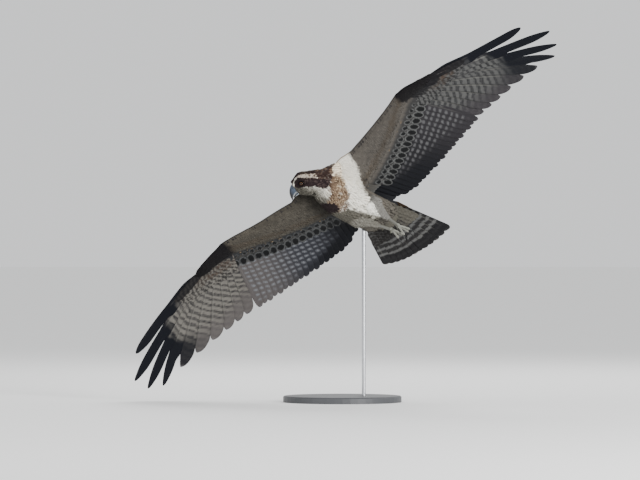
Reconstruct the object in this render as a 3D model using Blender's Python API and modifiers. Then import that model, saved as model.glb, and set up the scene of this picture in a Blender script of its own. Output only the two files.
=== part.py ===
"""Osprey in banking flight on a plain display stand, life size.

The bird is modelled in its own frame (x towards the breast, y towards its left wing, z towards its
back, origin midway between the shoulders), in millimetres, and is then set in its pose. Metres, +Z up.
"""
import math

import bmesh
import bpy
import numpy as np
from mathutils import Euler, Vector

MM = 0.001
GAP = 0.3                       # clearance between neighbouring parts

# Pose of the bird over the stand
HEADING = 226.37                # degrees from +X, towards the viewer's left and front
CLIMB = 24.30                   # nose up
BANK = 43.23                    # left wing up
ORIGIN_PLACE = (-13.0, -46.0, 607.0)

# Torso, from the tail root to the base of the neck: x, shift to the left, half width, back, belly
TORSO_STATIONS = [
    (-212.0, 11.0, 60.0, 16.0, -18.0),
    (-190.0, 10.0, 60.0, 23.0, -29.0),
    (-150.0, 7.0, 59.0, 33.0, -44.0),
    (-100.0, 2.0, 59.0, 40.0, -57.0),
    (-50.0, 0.0, 60.0, 44.0, -65.0),
    (0.0, 0.0, 60.0, 46.0, -64.0),
    (40.0, 0.0, 52.0, 42.0, -55.0),
    (76.0, 0.0, 37.0, 31.0, -38.0),
]
TORSO_RINGS = 15
RING_POINTS = 20

# Neck and head: the neck bends to the right, in an arc about a point beside its base
HEAD_YAW = -73.6                # degrees about the body's up axis
HEAD_PITCH = 8.3                # nose down
HEAD_ROLL = -44.1               # crown leaning towards the breast
NECK_RADIUS = 37.0
NECK_PIVOT = (76.5, -42.0)
NECK_RISE = 2.0
HEAD_START = 0.46               # where the head leaves the neck, along the arc
NECK_STATIONS = [               # place along the arc, half width, up, down
    (0.0, 37.0, 31.0, -38.0),
    (0.25, 34.5, 25.5, -37.0),
    (0.5, 31.5, 21.5, -35.0),
    (0.75, 29.5, 22.0, -33.5),
    (1.0, 28.5, 25.5, -32.0),
]
NECK_RINGS = 5
HEAD_STATIONS = [               # distance in front of the skull's middle, half width, up, down
    (0.0, 28.5, 25.5, -32.0),
    (8.0, 27.5, 26.0, -31.0),
    (16.0, 24.8, 24.5, -29.0),
    (24.0, 20.5, 21.5, -27.0),
    (31.0, 15.5, 17.0, -24.5),
    (36.0, 12.5, 13.0, -22.0),
]
NAPE_RINGS = 5
FACE_RINGS = 7
EYE_RADIUS = 9.0
EYE_PLACE = (12.0, 19.8, -2.0)
EYE_TURN = 20.0                 # degrees forward of straight sideways
LID_RADIUS = 7.0
LID_DEPTH = 6.4                 # from the middle of the eye to the plane of the lids
LID_THICKNESS = 1.3
LID_SEGMENTS = 14
LID_SIDES = 5
BROW_PLACE = (14.5, 21.5, 8.4)
BROW_RADII = (13.0, 4.6, 2.6)
BROW_SLANT = (18.0, 8.0)        # degrees towards the bill's root and down
MOUTH_HEIGHT = -13.6
MOUTH_BACK = 26.0
MOUTH_FRONT = 40.0
MOUTH_WIDTH = 60.0
MOUTH_SLOT = 1.2

# Bill, in the head's plane of symmetry: forward, up
FACE_FRONT = 36.3
CULMEN = [(36.3, 12.5), (50.0, 9.5), (63.0, -6.0), (61.5, -28.2)]
TOMIUM = [(36.3, -13.3), (48.0, -13.5), (55.0, -15.0), (61.2, -28.8)]
BILL_HALF_WIDTH = 9.8
BILL_RINGS = 11
BILL_POINTS = 16
CERE_SHARE = 0.3                # of the culmen's length
CERE_SWELL = 0.9
NOSTRIL_PLACE = (42.5, 9.0, 2.5)
NOSTRIL_RADII = (2.6, 2.4, 1.0)
LOWER_BILL_TIP = 54.0
LOWER_BILL_DEPTH = 7.4
LOWER_BILL_HALF_WIDTH = 8.6
LOWER_BILL_RINGS = 7
LOWER_BILL_POINTS = 12

# Wing, worked out for the left one and mirrored for the right
SHOULDER_EDGE = (28.0, 66.0, 16.0)
ARM_LENGTH = 297.9
ARM_SWEEP = 22.37               # degrees forward of straight sideways
ARM_DROP = 3.18
HAND_DROOP = 12.0
PRIMARY_LENGTHS = [286, 296, 311, 334, 368, 410, 468, 487, 484, 414]
PRIMARY_ANGLES = [63.9, 57.3, 50.1, 42.3, 34.4, 27.4, 21.5, 16.4, 11.8, 7.7]
PRIMARY_DROOPS = [-1.5, -1.5, -1.3, -0.9, 0.1, 1.6, 3.5, 2.9, 0.3, -3.3]
WING_POSES = {      # arm sweep, arm rise, hand sweep, hand droop (degrees), arm length, hand bow
    "left": (-0.33, 0.35, 0.49, 1.61, -2.4, -2.0),
    "right": (0.92, -1.25, -0.98, -0.56, 1.9, 11.0),
}
SECONDARIES = 22                # with the innermost, which lies against the body
INNER_TIP = (-212.0, 15.0, -2.0)    # second secondary's tip from the shoulder edge
BODY_TIPS = {"left": (-198.0, 66.0, -3.0), "right": (-184.0, 52.0, 0.0)}   # the innermost tip
OUTER_TIP = (-264.0, 91.0, -25.0)   # outermost secondary's tip from the wrist
TRAILING_BULGE = 27.0
INNER_ROOT = (-58.0, 44.0, 13.0)
ELBOW_BOW = 12.0
EDGE_BOW = 3.0                  # forward bow of the arm's leading edge
SHOULDER_BULGE = (32.0, -4.0, 13.0)   # of the skin fold between the neck and the arm
SHOULDER_SHARE = 0.24           # of the arm, over which it dies out
WRIST_DEPTH = 34.0              # from the leading edge at the wrist to the feather roots
HAND_TIP_DEPTH = 8.0
HAND_ROOTS = (8.0, 95.0)        # first and last primary's root beyond the wrist
FLIGHT_CAMBER = 0.05
CORE_RANKS = [-0.6, 1.5, 3.5, 6, 9, 12, 16, 19, 21, 22.5, 25, 28, 31]
CORE_THICKNESS = [(-2, 36.0), (1, 34.0), (8, 27.0), (14, 22.0), (20, 18.0), (24, 15.0), (31, 9.0)]
CORE_BACK = 19.0                # the flesh reaches this far behind the feather roots
CORE_POINTS = 12
VANE_THICKNESS = 0.6
VANE_STEP = 1.15                # each vane lies this far above its outer neighbour

# Feathers in tiers over the wing: first and last rank, how many, length as a share of the flight
# feather, lift from it, half widths in front of and behind the shaft
WING_TIERS = {
    "greater_under": (1.5, 20.5, 9, 0.40, -4.0, 12.0, 16.0),
    "greater_upper": (1.5, 20.5, 9, 0.42, 4.0, 12.0, 16.0),
    "primary_under": (22.0, 30.5, 5, 0.33, -4.4, 7.0, 12.0),
    "primary_upper": (22.0, 30.5, 5, 0.33, 4.4, 7.0, 12.0),
}
FINGER_NOTCHES = {                  # primary: share of its length where each vane narrows
    "inner": {10: 0.42, 9: 0.60, 8: 0.67, 7: 0.77},
    "outer": {9: 0.47, 8: 0.59, 7: 0.68, 6: 0.88},
}
PRIMARY_WIDTHS = (10.0, 24.0)       # in front of and behind the shaft
FINGER_WIDTHS = (6.0, 12.0)
PRIMARY_BREADTHS = (16.0, 40.0, 0.9)   # least and most behind the shaft, and its share of the spacing
SECONDARY_WIDTHS = (9.0, 19.0)
SECONDARY_STATIONS = [0.0, 0.28, 0.6, 0.91, 1.0]
PRIMARY_STATIONS = [0.0, 0.25, 0.55, 0.87, 0.95, 1.0]
FINGER_STATIONS = [0.0, 0.25, 0.42, 0.55, 0.68, 0.82, 0.94, 1.0]
COVERT_STATIONS = [0.0, 0.34, 0.86, 1.0]

# Tail: a fan of twelve feathers, the middle pair uppermost
TAIL_FLESH = [(-212.3, 11.0, 60.0, 16.0, -18.0), (-230.0, 11.0, 58.0, 11.0, -13.0), (-250.0, 11.0, 50.0, 4.0, -6.0)]
TAIL_FEATHERS = 12
TAIL_ROOT_X = -219.0
TAIL_ROOT_SPREAD = 55.0
TAIL_SHIFT = 11.0                # to the left, as the tail steers
TAIL_ROOT_LIFT = 3.0
TAIL_CORNERS = {"left": (-371.0, 107.0, -20.0), "middle": (-394.0, -18.0, -6.0),
                "right": (-352.0, -102.0, 8.0)}
TAIL_WIDTHS = (12.0, 17.0)
TAIL_STEP = 0.95                # between the feathers, left and right ones alternating
TAIL_STATIONS = [0.0, 0.2, 0.5, 0.89, 0.97, 1.0]
TAIL_COVERTS = {                    # how many, share of the feather's length, lift, half width
    "under": (6, 0.44, -5.5, 15.0),
    "upper": (6, 0.36, 5.0, 15.0),
}

# Legs, trailing under the tail: hip side, ankle, heel, toe root in the bird's frame
LEGS = {
    "left": {"hip": (-70.0, 38.0, -34.0), "ankle": (-160.0, 36.0, -60.0), "foot": (-206.0, 31.0, -62.0)},
    "right": {"hip": (-70.0, -34.0, -36.0), "ankle": (-160.0, -14.0, -62.0), "foot": (-206.0, -7.0, -65.0)},
}
THIGH_RADII = (24.0, 28.0, 21.0, 13.0, 8.0)
THIGH_POINTS = 14
SHANK_RADIUS = 5.2
SHANK_GIRTH = 0.9
SHANK_POINTS = 12
TOES = [                            # name, spread in degrees, length, droop in degrees
    ("inner", -12.0, 34.0, 24.0),
    ("middle", 8.0, 40.0, 6.0),
    ("outer", 26.0, 36.0, 12.0),
    ("hind", 180.0, 24.0, 62.0),
]
TOE_RADIUS = 4.3
TOE_GIRTHS = (1.0, 1.05, 0.8, 0.95, 0.75)   # pads and waists, as shares of the radius
TOE_ARCH = 2.0
TOE_POINTS = 8
TOE_START = 9.0                 # beyond the heel
PALM_RADIUS = 7.5
PALM_LENGTH = 15.0
CLAW_LENGTH = 24.0
CLAW_RADIUS = 2.9
CLAW_BEND = 95.0
CLAW_RINGS = 6
CLAW_POINTS = 6

# Stand: a round base and one rod up to the belly
BASE_RADIUS = 170.0
BASE_HEIGHT = 18.0
BASE_EDGE = 3.0
BASE_STEPS = 48
ROD_RADIUS = 5.5
ROD_SIDES = 24
ROD_PLACE = (-119.0, -12.0, -30.0)  # a point inside the belly, in the bird's frame

MATERIALS = {                       # colour, roughness, metallic
    "white_feather": ((0.82, 0.80, 0.76), 0.85, 0.0),
    "brown_feather": ((0.16, 0.13, 0.11), 0.80, 0.0),
    "flight_feather": ((0.34, 0.31, 0.29), 0.75, 0.0),
    "bill_horn": ((0.05, 0.055, 0.065), 0.35, 0.0),
    "claw_horn": ((0.02, 0.02, 0.022), 0.35, 0.0),
    "foot_skin": ((0.55, 0.58, 0.56), 0.60, 0.0),
    "eye_glass": ((0.75, 0.36, 0.04), 0.10, 0.0),
    "stand_paint": ((0.05, 0.05, 0.055), 0.45, 0.0),
    "stand_steel": ((0.55, 0.56, 0.58), 0.30, 1.0),
}


def clearScene():
    for item in list(bpy.data.objects):
        bpy.data.objects.remove(item, do_unlink=True)


def makeCollection(name):
    collection = bpy.data.collections.new(name)
    bpy.context.scene.collection.children.link(collection)
    return collection


def makeMaterial(name, colour, roughness, metallic):
    material = bpy.data.materials.new(name)
    material.use_nodes = True
    shader = material.node_tree.nodes["Principled BSDF"]
    shader.inputs["Base Color"].default_value = (*colour, 1.0)
    shader.inputs["Roughness"].default_value = roughness
    shader.inputs["Metallic"].default_value = metallic
    material.diffuse_color = (*colour, 1.0)
    return material


def closedMesh(name, points, faces, collection):
    """Makes a closed mesh object from points in millimetres, with its faces turned outwards."""
    mesh = bpy.data.meshes.new(name)
    mesh.from_pydata((np.asarray(points) * MM).tolist(), [], faces)
    work = bmesh.new()
    work.from_mesh(mesh)
    bmesh.ops.recalc_face_normals(work, faces=work.faces[:])
    work.to_mesh(mesh)
    work.free()
    item = bpy.data.objects.new(name, mesh)
    collection.objects.link(item)
    return item


def loft(name, rings, collection):
    """Joins rings with the same number of points into one closed skin, capped at both ends."""
    count = len(rings[0])
    faces = []
    for row in range(len(rings) - 1):
        for k in range(count):
            a = row * count + k
            b = row * count + (k + 1) % count
            faces.append((a, b, b + count, a + count))
    faces.append(tuple(range(count))[::-1])
    faces.append(tuple(range((len(rings) - 1) * count, len(rings) * count)))
    return closedMesh(name, np.concatenate(rings), faces, collection)


def ellipsoid(name, centre, radii, turn, collection, segments=16, rows=10):
    """A ball stretched to three radii, turned by a 3 x 3 matrix of its own axes."""
    work = bmesh.new()
    bmesh.ops.create_uvsphere(work, u_segments=segments, v_segments=rows, radius=1.0)
    points = np.array([vert.co[:] for vert in work.verts]) * np.array(radii)
    faces = [[vert.index for vert in face.verts] for face in work.faces]
    work.free()
    return closedMesh(name, points @ np.asarray(turn).T + np.asarray(centre), faces, collection)


def smoothRows(stations, places):
    """Values between the stations' rows, on a smooth cubic through them."""
    table = np.array(stations, float)
    places = np.atleast_1d(np.asarray(places, float))
    knots = table[:, 0]
    values = table[:, 1:]
    slopes = np.gradient(values, knots, axis=0)
    left = np.clip(np.searchsorted(knots, places, side="right") - 1, 0, len(knots) - 2)
    span = knots[left + 1] - knots[left]
    u = ((places - knots[left]) / span)[:, None]
    span = span[:, None]
    return (values[left] * (1 + 2 * u) * (1 - u) ** 2 + slopes[left] * span * u * (1 - u) ** 2
            + values[left + 1] * u * u * (3 - 2 * u) - slopes[left + 1] * span * u * u * (1 - u))


def turnMatrix(yaw, pitch, roll):
    """Axes of a frame turned about up, then nose down, then about its own forward axis (degrees)."""
    turn = Euler((math.radians(roll), math.radians(pitch), math.radians(yaw)), "XYZ").to_matrix()
    return np.array(turn)


def ovalRing(centre, frame, halfWidth, up, down, count=RING_POINTS):
    """An egg-shaped ring across a frame's forward axis."""
    angles = np.arange(count) * 2 * np.pi / count
    side = halfWidth * np.cos(angles)
    rise = (up + down) / 2 + (up - down) / 2 * np.sin(angles)
    return np.asarray(centre) + np.outer(side, frame[:, 1]) + np.outer(rise, frame[:, 2])


def neckFrame(share):
    """Middle and axes of the neck at a share of its arc."""
    yaw = HEAD_YAW * share
    turned = math.radians(-yaw)
    centre = np.array([NECK_PIVOT[0] + NECK_RADIUS * math.sin(turned),
                       NECK_PIVOT[1] + NECK_RADIUS * math.cos(turned),
                       NECK_RISE * share])
    return centre, turnMatrix(yaw, HEAD_PITCH * share, HEAD_ROLL * share)


HEAD_CENTRE, HEAD_FRAME = neckFrame(1.0)


def headPoint(forward, left, up):
    return HEAD_CENTRE + HEAD_FRAME @ np.array([forward, left, up])


def grown(source, amount, collection):
    """A copy of a part with its skin moved out by an amount, for cutting its neighbours."""
    mesh = source.data.copy()
    normals = np.zeros(len(mesh.vertices) * 3)
    mesh.vertices.foreach_get("normal", normals)
    places = np.zeros(len(mesh.vertices) * 3)
    mesh.vertices.foreach_get("co", places)
    mesh.vertices.foreach_set("co", places + normals * amount * MM)
    item = bpy.data.objects.new(source.name + "_grown", mesh)
    item.hide_render = True
    item.display_type = "WIRE"
    collection.objects.link(item)
    return item


def keepLargest(mesh):
    """Drops every closed surface of a mesh but the one with the most volume."""
    work = bmesh.new()
    work.from_mesh(mesh)
    bmesh.ops.triangulate(work, faces=work.faces[:])
    bmesh.ops.dissolve_degenerate(work, dist=1e-7, edges=work.edges[:])
    unseen = set(work.verts)
    shells = []
    while unseen:
        stack = [unseen.pop()]
        shell = set(stack)
        while stack:
            for edge in stack.pop().link_edges:
                for vert in edge.verts:
                    if vert in unseen:
                        unseen.discard(vert)
                        shell.add(vert)
                        stack.append(vert)
        shells.append(shell)
    volumes = []
    for shell in shells:
        faces = {face for vert in shell for face in vert.link_faces}
        volumes.append(sum(face.verts[0].co.dot(face.verts[1].co.cross(face.verts[2].co)) for face in faces))
    best = shells[int(np.argmax(volumes))]
    bmesh.ops.delete(work, geom=[vert for vert in work.verts if vert not in best], context="VERTS")
    work.to_mesh(mesh)
    work.free()


def applyBoolean(item, operation, others, solver="EXACT"):
    """Applies one Boolean with a collection of closed pieces, and removes the pieces."""
    group = bpy.data.collections.new("pieces")
    for other in others:
        group.objects.link(other)
    modifier = item.modifiers.new("shape", "BOOLEAN")
    modifier.operation = operation
    modifier.operand_type = "COLLECTION"
    modifier.collection = group
    modifier.solver = solver
    graph = bpy.context.evaluated_depsgraph_get()
    graph.update()
    mesh = bpy.data.meshes.new_from_object(item.evaluated_get(graph))
    item.modifiers.remove(modifier)
    item.data = mesh
    for other in others:
        bpy.data.objects.remove(other, do_unlink=True)
    bpy.data.collections.remove(group)
    keepLargest(mesh)


def finish(item, name, material):
    item.name = name
    item.data.name = name
    item.data.materials.clear()
    item.data.materials.append(material)
    for face in item.data.polygons:
        face.use_smooth = True
    item.data.set_sharp_from_angle(angle=math.radians(40))
    return item


def buildTorso(parts):
    rings = []
    for place in np.linspace(TORSO_STATIONS[0][0], TORSO_STATIONS[-1][0], TORSO_RINGS):
        shift, halfWidth, up, down = smoothRows(TORSO_STATIONS, place)[0]
        rings.append(ovalRing((place, shift, 0.0), np.eye(3), halfWidth, up, down))
    return loft("torso", rings, parts)


def buildNeck(parts):
    rings = []
    first = GAP / NECK_RADIUS
    for share in np.linspace(first, HEAD_START, NECK_RINGS):
        centre, frame = neckFrame(share)
        rings.append(ovalRing(centre, frame, *smoothRows(NECK_STATIONS, share)[0]))
    return loft("neck", rings, parts)


def buildHead(parts, cutters):
    rings = []
    for share in np.linspace(HEAD_START + 2 * GAP / NECK_RADIUS, 1.0, NAPE_RINGS):
        centre, frame = neckFrame(share)
        rings.append(ovalRing(centre, frame, *smoothRows(NECK_STATIONS, share)[0]))
    for forward in np.linspace(HEAD_STATIONS[0][0], HEAD_STATIONS[-1][0], FACE_RINGS)[1:]:
        rings.append(ovalRing(headPoint(forward, 0, 0), HEAD_FRAME, *smoothRows(HEAD_STATIONS, forward)[0]))
    head = loft("head", rings, parts)
    ridges = []
    sockets = []
    for side in (1, -1):
        gaze = HEAD_FRAME @ turnMatrix(side * (90 - EYE_TURN), 0, 0)
        eye = headPoint(EYE_PLACE[0], side * EYE_PLACE[1], EYE_PLACE[2])
        brow = headPoint(BROW_PLACE[0], side * BROW_PLACE[1], BROW_PLACE[2])
        slant = HEAD_FRAME @ turnMatrix(-side * BROW_SLANT[0], BROW_SLANT[1], 0)
        ridges.append(ellipsoid("brow", brow, BROW_RADII, slant, cutters, 12, 6))
        ridges.append(lidRing(eye, gaze, cutters))
        sockets.append(ellipsoid("socket", eye, (EYE_RADIUS + GAP,) * 3, gaze, cutters, 16, 8))
    applyBoolean(head, "UNION", ridges)
    slot = boxPiece("mouth", headPoint((MOUTH_BACK + MOUTH_FRONT) / 2, 0, MOUTH_HEIGHT),
                    (MOUTH_FRONT - MOUTH_BACK, MOUTH_WIDTH, MOUTH_SLOT), HEAD_FRAME, cutters)
    applyBoolean(head, "DIFFERENCE", sockets + [slot])
    return head


def lidRing(eye, gaze, collection):
    """The rim of the lids: a torus around the line of sight."""
    rings = []
    for k in range(LID_SEGMENTS):
        angle = 2 * math.pi * k / LID_SEGMENTS
        across = gaze[:, 1] * math.cos(angle) + gaze[:, 2] * math.sin(angle)
        centre = eye + gaze[:, 0] * LID_DEPTH + across * LID_RADIUS
        turns = np.arange(LID_SIDES) * 2 * np.pi / LID_SIDES
        rings.append(centre + LID_THICKNESS * (np.outer(np.cos(turns), across)
                                               + np.outer(np.sin(turns), gaze[:, 0])))
    faces = []
    for row in range(LID_SEGMENTS):
        a = row * LID_SIDES
        b = (row + 1) % LID_SEGMENTS * LID_SIDES
        for k in range(LID_SIDES):
            after = (k + 1) % LID_SIDES
            faces.append((a + k, a + after, b + after, b + k))
    return closedMesh("lid", np.concatenate(rings), faces, collection)


def boxPiece(name, centre, sizes, frame, collection):
    work = bmesh.new()
    bmesh.ops.create_cube(work, size=1.0)
    points = np.array([vert.co[:] for vert in work.verts]) * np.array(sizes)
    faces = [[vert.index for vert in face.verts] for face in work.faces]
    work.free()
    return closedMesh(name, points @ np.asarray(frame).T + np.asarray(centre), faces, collection)


def buildEyes(parts):
    eyes = {}
    for name, side in (("left", 1), ("right", -1)):
        gaze = HEAD_FRAME @ turnMatrix(side * (90 - EYE_TURN), 0, 0)
        eye = headPoint(EYE_PLACE[0], side * EYE_PLACE[1], EYE_PLACE[2])
        eyes[name] = ellipsoid("eye_" + name, eye, (EYE_RADIUS,) * 3, gaze, parts, 16, 8)
    return eyes


def bezier(points, share):
    p = np.array(points, float)
    s = np.atleast_1d(share)[:, None]
    return p[0] * (1 - s) ** 3 + 3 * p[1] * s * (1 - s) ** 2 + 3 * p[2] * s * s * (1 - s) + p[3] * s ** 3


def buildBill(parts, cutters):
    """The hooked upper mandible, whose sections run from the tomium to the culmen, and the lower one."""
    rings = []
    for share in np.linspace(0, 1, BILL_RINGS) ** 0.9:
        top = bezier(CULMEN, share)[0]
        low = bezier(TOMIUM, share)[0]
        swell = 1 + CERE_SWELL / 10 * max(0.0, math.sin(math.pi * min(share / CERE_SHARE, 1.0)))
        halfWidth = BILL_HALF_WIDTH * swell * max(0.04, (1 - share) ** 0.75)
        middle = (top + low) / 2
        half = (top - low) / 2
        angles = np.arange(BILL_POINTS) * 2 * np.pi / BILL_POINTS
        pinch = 1 - 0.25 * np.clip(np.sin(angles), 0, 1)
        flat = middle + np.outer(np.sin(angles), half)
        side = halfWidth * np.cos(angles) * pinch
        rings.append(np.array([headPoint(f, s, u) for (f, u), s in zip(flat, side)]))
    upper = loft("bill_upper", rings, parts)
    nostrils = []
    for side in (1, -1):
        place = headPoint(NOSTRIL_PLACE[0], side * NOSTRIL_PLACE[1], NOSTRIL_PLACE[2])
        frame = HEAD_FRAME @ turnMatrix(side * -12, -35, 0)
        nostrils.append(ellipsoid("nostril", place, NOSTRIL_RADII, frame, cutters, 12, 8))
    applyBoolean(upper, "DIFFERENCE", nostrils)
    rings = []
    for share in np.linspace(0, 1, LOWER_BILL_RINGS):
        forward = FACE_FRONT + (LOWER_BILL_TIP - FACE_FRONT) * share
        tomium = np.interp(forward, *lowerEdge())
        depth = LOWER_BILL_DEPTH * max(0.12, math.sqrt(1 - share ** 2))
        halfWidth = LOWER_BILL_HALF_WIDTH * max(0.15, (1 - share) ** 0.6)
        angles = np.arange(LOWER_BILL_POINTS) * 2 * np.pi / LOWER_BILL_POINTS
        rings.append(np.array([headPoint(forward, halfWidth * math.cos(a),
                                         tomium - GAP - depth / 2 + depth / 2 * math.sin(a))
                               for a in angles]))
    return upper, loft("bill_lower", rings, parts)


def lowerEdge():
    curve = bezier(TOMIUM, np.linspace(0, 1, 25))
    return curve[:, 0], curve[:, 1]


def wingPlan(side):
    """Roots, tips and back-pointing normals of the flight feathers, innermost secondary first."""
    sweep, rise, handSweep, handDroop, longer, handBow = WING_POSES[side]
    sweepTurn = math.radians(sweep)
    handTurn = math.radians(handSweep)
    azimuth = math.radians(ARM_SWEEP + sweep)
    lift = math.radians(rise - ARM_DROP)
    edge = np.array(SHOULDER_EDGE)
    wrist = edge + (ARM_LENGTH + longer) * np.array([math.sin(azimuth) * math.cos(lift),
                                                     math.cos(azimuth) * math.cos(lift), math.sin(lift)])

    def handPoint(out, back, droop):
        angle = math.radians(HAND_DROOP + handDroop + droop)
        return wrist + np.array([-back, out * math.cos(angle), -out * math.sin(angle)])

    x, y, z = INNER_TIP
    innerTip = edge + np.array([x * math.cos(sweepTurn) + y * math.sin(sweepTurn),
                                y * math.cos(sweepTurn) - x * math.sin(sweepTurn),
                                z + y * math.radians(rise)])
    x, y, z = OUTER_TIP
    outerTip = wrist + np.array([x * math.cos(handTurn) + y * math.sin(handTurn),
                                 y * math.cos(handTurn) - x * math.sin(handTurn),
                                 z - y * math.radians(handDroop)])
    roots = []
    tips = []
    edges = []
    outerRoot = wrist + np.array([-WRIST_DEPTH, -6.0, 0.0])
    for share in np.linspace(-1 / (SECONDARIES - 2), 1, SECONDARIES):
        bow = np.array([1.0, 0.0, 0.0])
        root = np.array(INNER_ROOT) * (1 - share) + outerRoot * share
        roots.append(root - bow * ELBOW_BOW * math.sin(math.pi * share))
        bulge = TRAILING_BULGE * math.sin(math.pi * max(share, 0.0) ** 0.45) * min(1.0, share / 0.13)
        tips.append(innerTip * (1 - share) + outerTip * share - bow * bulge)
        fold = 0.5 + 0.5 * math.cos(math.pi * min(1.0, max(0.0, share) / SHOULDER_SHARE))
        edges.append(edge * (1 - share) + wrist * share + bow * EDGE_BOW * math.sin(math.pi * share)
                     + fold * np.array(SHOULDER_BULGE))
    tips[0] = np.array(BODY_TIPS[side])
    leading = math.radians(PRIMARY_ANGLES[-1] + handSweep)
    for k, (length, angle, droop) in enumerate(zip(PRIMARY_LENGTHS, PRIMARY_ANGLES, PRIMARY_DROOPS)):
        share = k / (len(PRIMARY_LENGTHS) - 1)
        turned = math.radians(angle + handSweep)
        out = HAND_ROOTS[0] * (1 - share) + HAND_ROOTS[1] * share
        depth = (WRIST_DEPTH - 4.0) * (1 - share) + HAND_TIP_DEPTH * share
        edgeBack = out * math.tan(leading)
        roots.append(handPoint(out, edgeBack + depth, droop * share))
        tips.append(handPoint(length * math.cos(turned), length * math.sin(turned), droop))
        bow = handBow * math.sin(math.pi * min(1.0, out / length))
        edges.append(handPoint(out + 4.0 * share, edgeBack - bow, droop * share))
    roots = np.array(roots)
    tips = np.array(tips)
    along = tips - roots
    across = np.gradient((roots + tips) / 2, axis=0)
    normals = np.cross(across, along)
    normals /= np.linalg.norm(normals, axis=1)[:, None]
    bows = np.zeros(len(roots))
    bows[-4:] = handBow * np.array([0.2, 0.5, 0.8, 1.0])
    return {"roots": roots, "tips": tips, "edges": np.array(edges), "normals": normals, "bows": bows}


def atRank(table, rank):
    """Row of a table at a rank between the whole ones, carried on straight past both ends."""
    last = len(table) - 1
    low = int(np.clip(math.floor(rank), 0, last - 1))
    return table[low] + (table[low + 1] - table[low]) * (rank - low)


def wingCurve(plan, rank, share):
    """Point on the shaft of a feather of any rank, arched a little towards the back."""
    root = atRank(plan["roots"], rank)
    tip = atRank(plan["tips"], rank)
    normal = atRank(plan["normals"], rank)
    hump = 4 * share * (1 - share)
    arch = FLIGHT_CAMBER * np.linalg.norm(tip - root) * hump
    forward = np.cross(tip - root, normal)
    forward *= atRank(plan["bows"], rank) / np.linalg.norm(forward)
    return root + (tip - root) * share + normal * arch + forward * hump


def wingAxes(plan, rank, share):
    """Unit tangent, outward and back-pointing directions, and the spacing to the next feather."""
    tangent = wingCurve(plan, rank, share + 0.01) - wingCurve(plan, rank, share - 0.01)
    tangent /= np.linalg.norm(tangent)
    step = wingCurve(plan, rank + 0.5, share) - wingCurve(plan, rank - 0.5, share)
    step -= tangent * tangent.dot(step)
    spacing = np.linalg.norm(step)
    outward = step / spacing
    return tangent, outward, np.cross(outward, tangent), spacing


def blade(sections, name, collection):
    """A flat vane through sections of four corners, split into triangles alike on both faces."""
    faces = []
    last = len(sections) - 1
    for row in range(last):
        a = row * 4
        b = a + 4
        faces += [(a, a + 1, b), (a + 1, b + 1, b)]
        faces += [(a + 2, b + 2, a + 3), (a + 3, b + 2, b + 3)]
        faces += [(a + 1, a + 3, b + 1), (a + 3, b + 3, b + 1)]
        faces += [(a, b, a + 2), (a + 2, b, b + 2)]
    faces += [(0, 2, 1), (1, 2, 3)]
    end = last * 4
    faces += [(end, end + 1, end + 2), (end + 1, end + 3, end + 2)]
    return closedMesh(name, np.concatenate(sections), faces, collection)


def tipShape(share, start=0.86, least=0.22):
    """Narrowing of a vane towards its rounded tip."""
    if share <= start:
        return 1.0
    return max(least, math.sqrt(1 - ((share - start) / (1 - start)) ** 2))


def rootShape(share, end=0.25, least=0.55):
    """Widening of a vane from its shaft's bare foot."""
    u = min(share / end, 1.0)
    return least + (1 - least) * u * u * (3 - 2 * u)


def wingVane(plan, rank, reach, lift, widths, stations, collection, notches=(None, None), breadths=None):
    """One vane on the wing: widths in front of and behind the shaft, tilted so that each vane's
    front edge lies over the next one out, as slats do."""
    sections = []
    for station in stations:
        share = station * reach
        tangent, outward, back, spacing = wingAxes(plan, rank, share)
        tilt = math.atan2(VANE_STEP, spacing)
        side = outward * math.cos(tilt) + back * math.sin(tilt)
        up = back * math.cos(tilt) - outward * math.sin(tilt)
        front, rear = widths
        if breadths is not None:
            rear = min(max(breadths[0], spacing * breadths[2]), breadths[1])
        for notch, isFront in zip(notches, (True, False)):
            if notch is None:
                continue
            u = min(max((station - notch) / 0.1, 0.0), 1.0)
            narrow = FINGER_WIDTHS[0] if isFront else FINGER_WIDTHS[1]
            if isFront:
                front += (narrow - front) * u
            else:
                rear += (narrow - rear) * u
        shape = rootShape(station) * tipShape(station)
        centre = wingCurve(plan, rank, share) + back * lift
        thick = VANE_THICKNESS / 2
        sections.append(np.array([centre + side * front * shape + up * thick,
                                  centre - side * rear * shape + up * thick,
                                  centre + side * front * shape - up * thick,
                                  centre - side * rear * shape - up * thick]))
    return blade(sections, "vane", collection)


def wingCore(plan, name, collection):
    """The flesh of the wing: a teardrop section from the leading edge to just behind the roots."""
    ranks, thicks = zip(*CORE_THICKNESS)
    rings = []
    for rank in CORE_RANKS:
        front = atRank(plan["edges"], rank)
        root = atRank(plan["roots"], rank)
        tip = atRank(plan["tips"], rank)
        rear = root + (tip - root) / np.linalg.norm(tip - root) * CORE_BACK
        normal = atRank(plan["normals"], rank)
        thick = np.interp(rank, ranks, thicks)
        angles = np.arange(CORE_POINTS) * 2 * np.pi / CORE_POINTS
        along = (1 - np.cos(angles)) / 2
        rise = thick / 2 * np.sin(angles) * (1.15 - 0.35 * along)
        rings.append(front + np.outer(along, rear - front) + np.outer(rise, normal))
    return loft(name, rings, collection)


def mirrorPiece(item):
    """Turns a piece of the left wing into one of the right."""
    mesh = item.data
    places = np.zeros(len(mesh.vertices) * 3)
    mesh.vertices.foreach_get("co", places)
    places[1::3] *= -1
    mesh.vertices.foreach_set("co", places)
    mesh.flip_normals()


def buildWing(side, torso, neck, parts, cutters):
    plan = wingPlan(side)
    core = wingCore(plan, "wing_" + side, parts)
    vanes = flightVanes(plan, cutters)
    if side == "right":
        for item in [core] + vanes:
            mirrorPiece(item)
    applyBoolean(core, "UNION", vanes)
    applyBoolean(core, "DIFFERENCE", [grown(torso, GAP, cutters)])
    applyBoolean(core, "DIFFERENCE", [grown(neck, GAP, cutters)])
    return core


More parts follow.
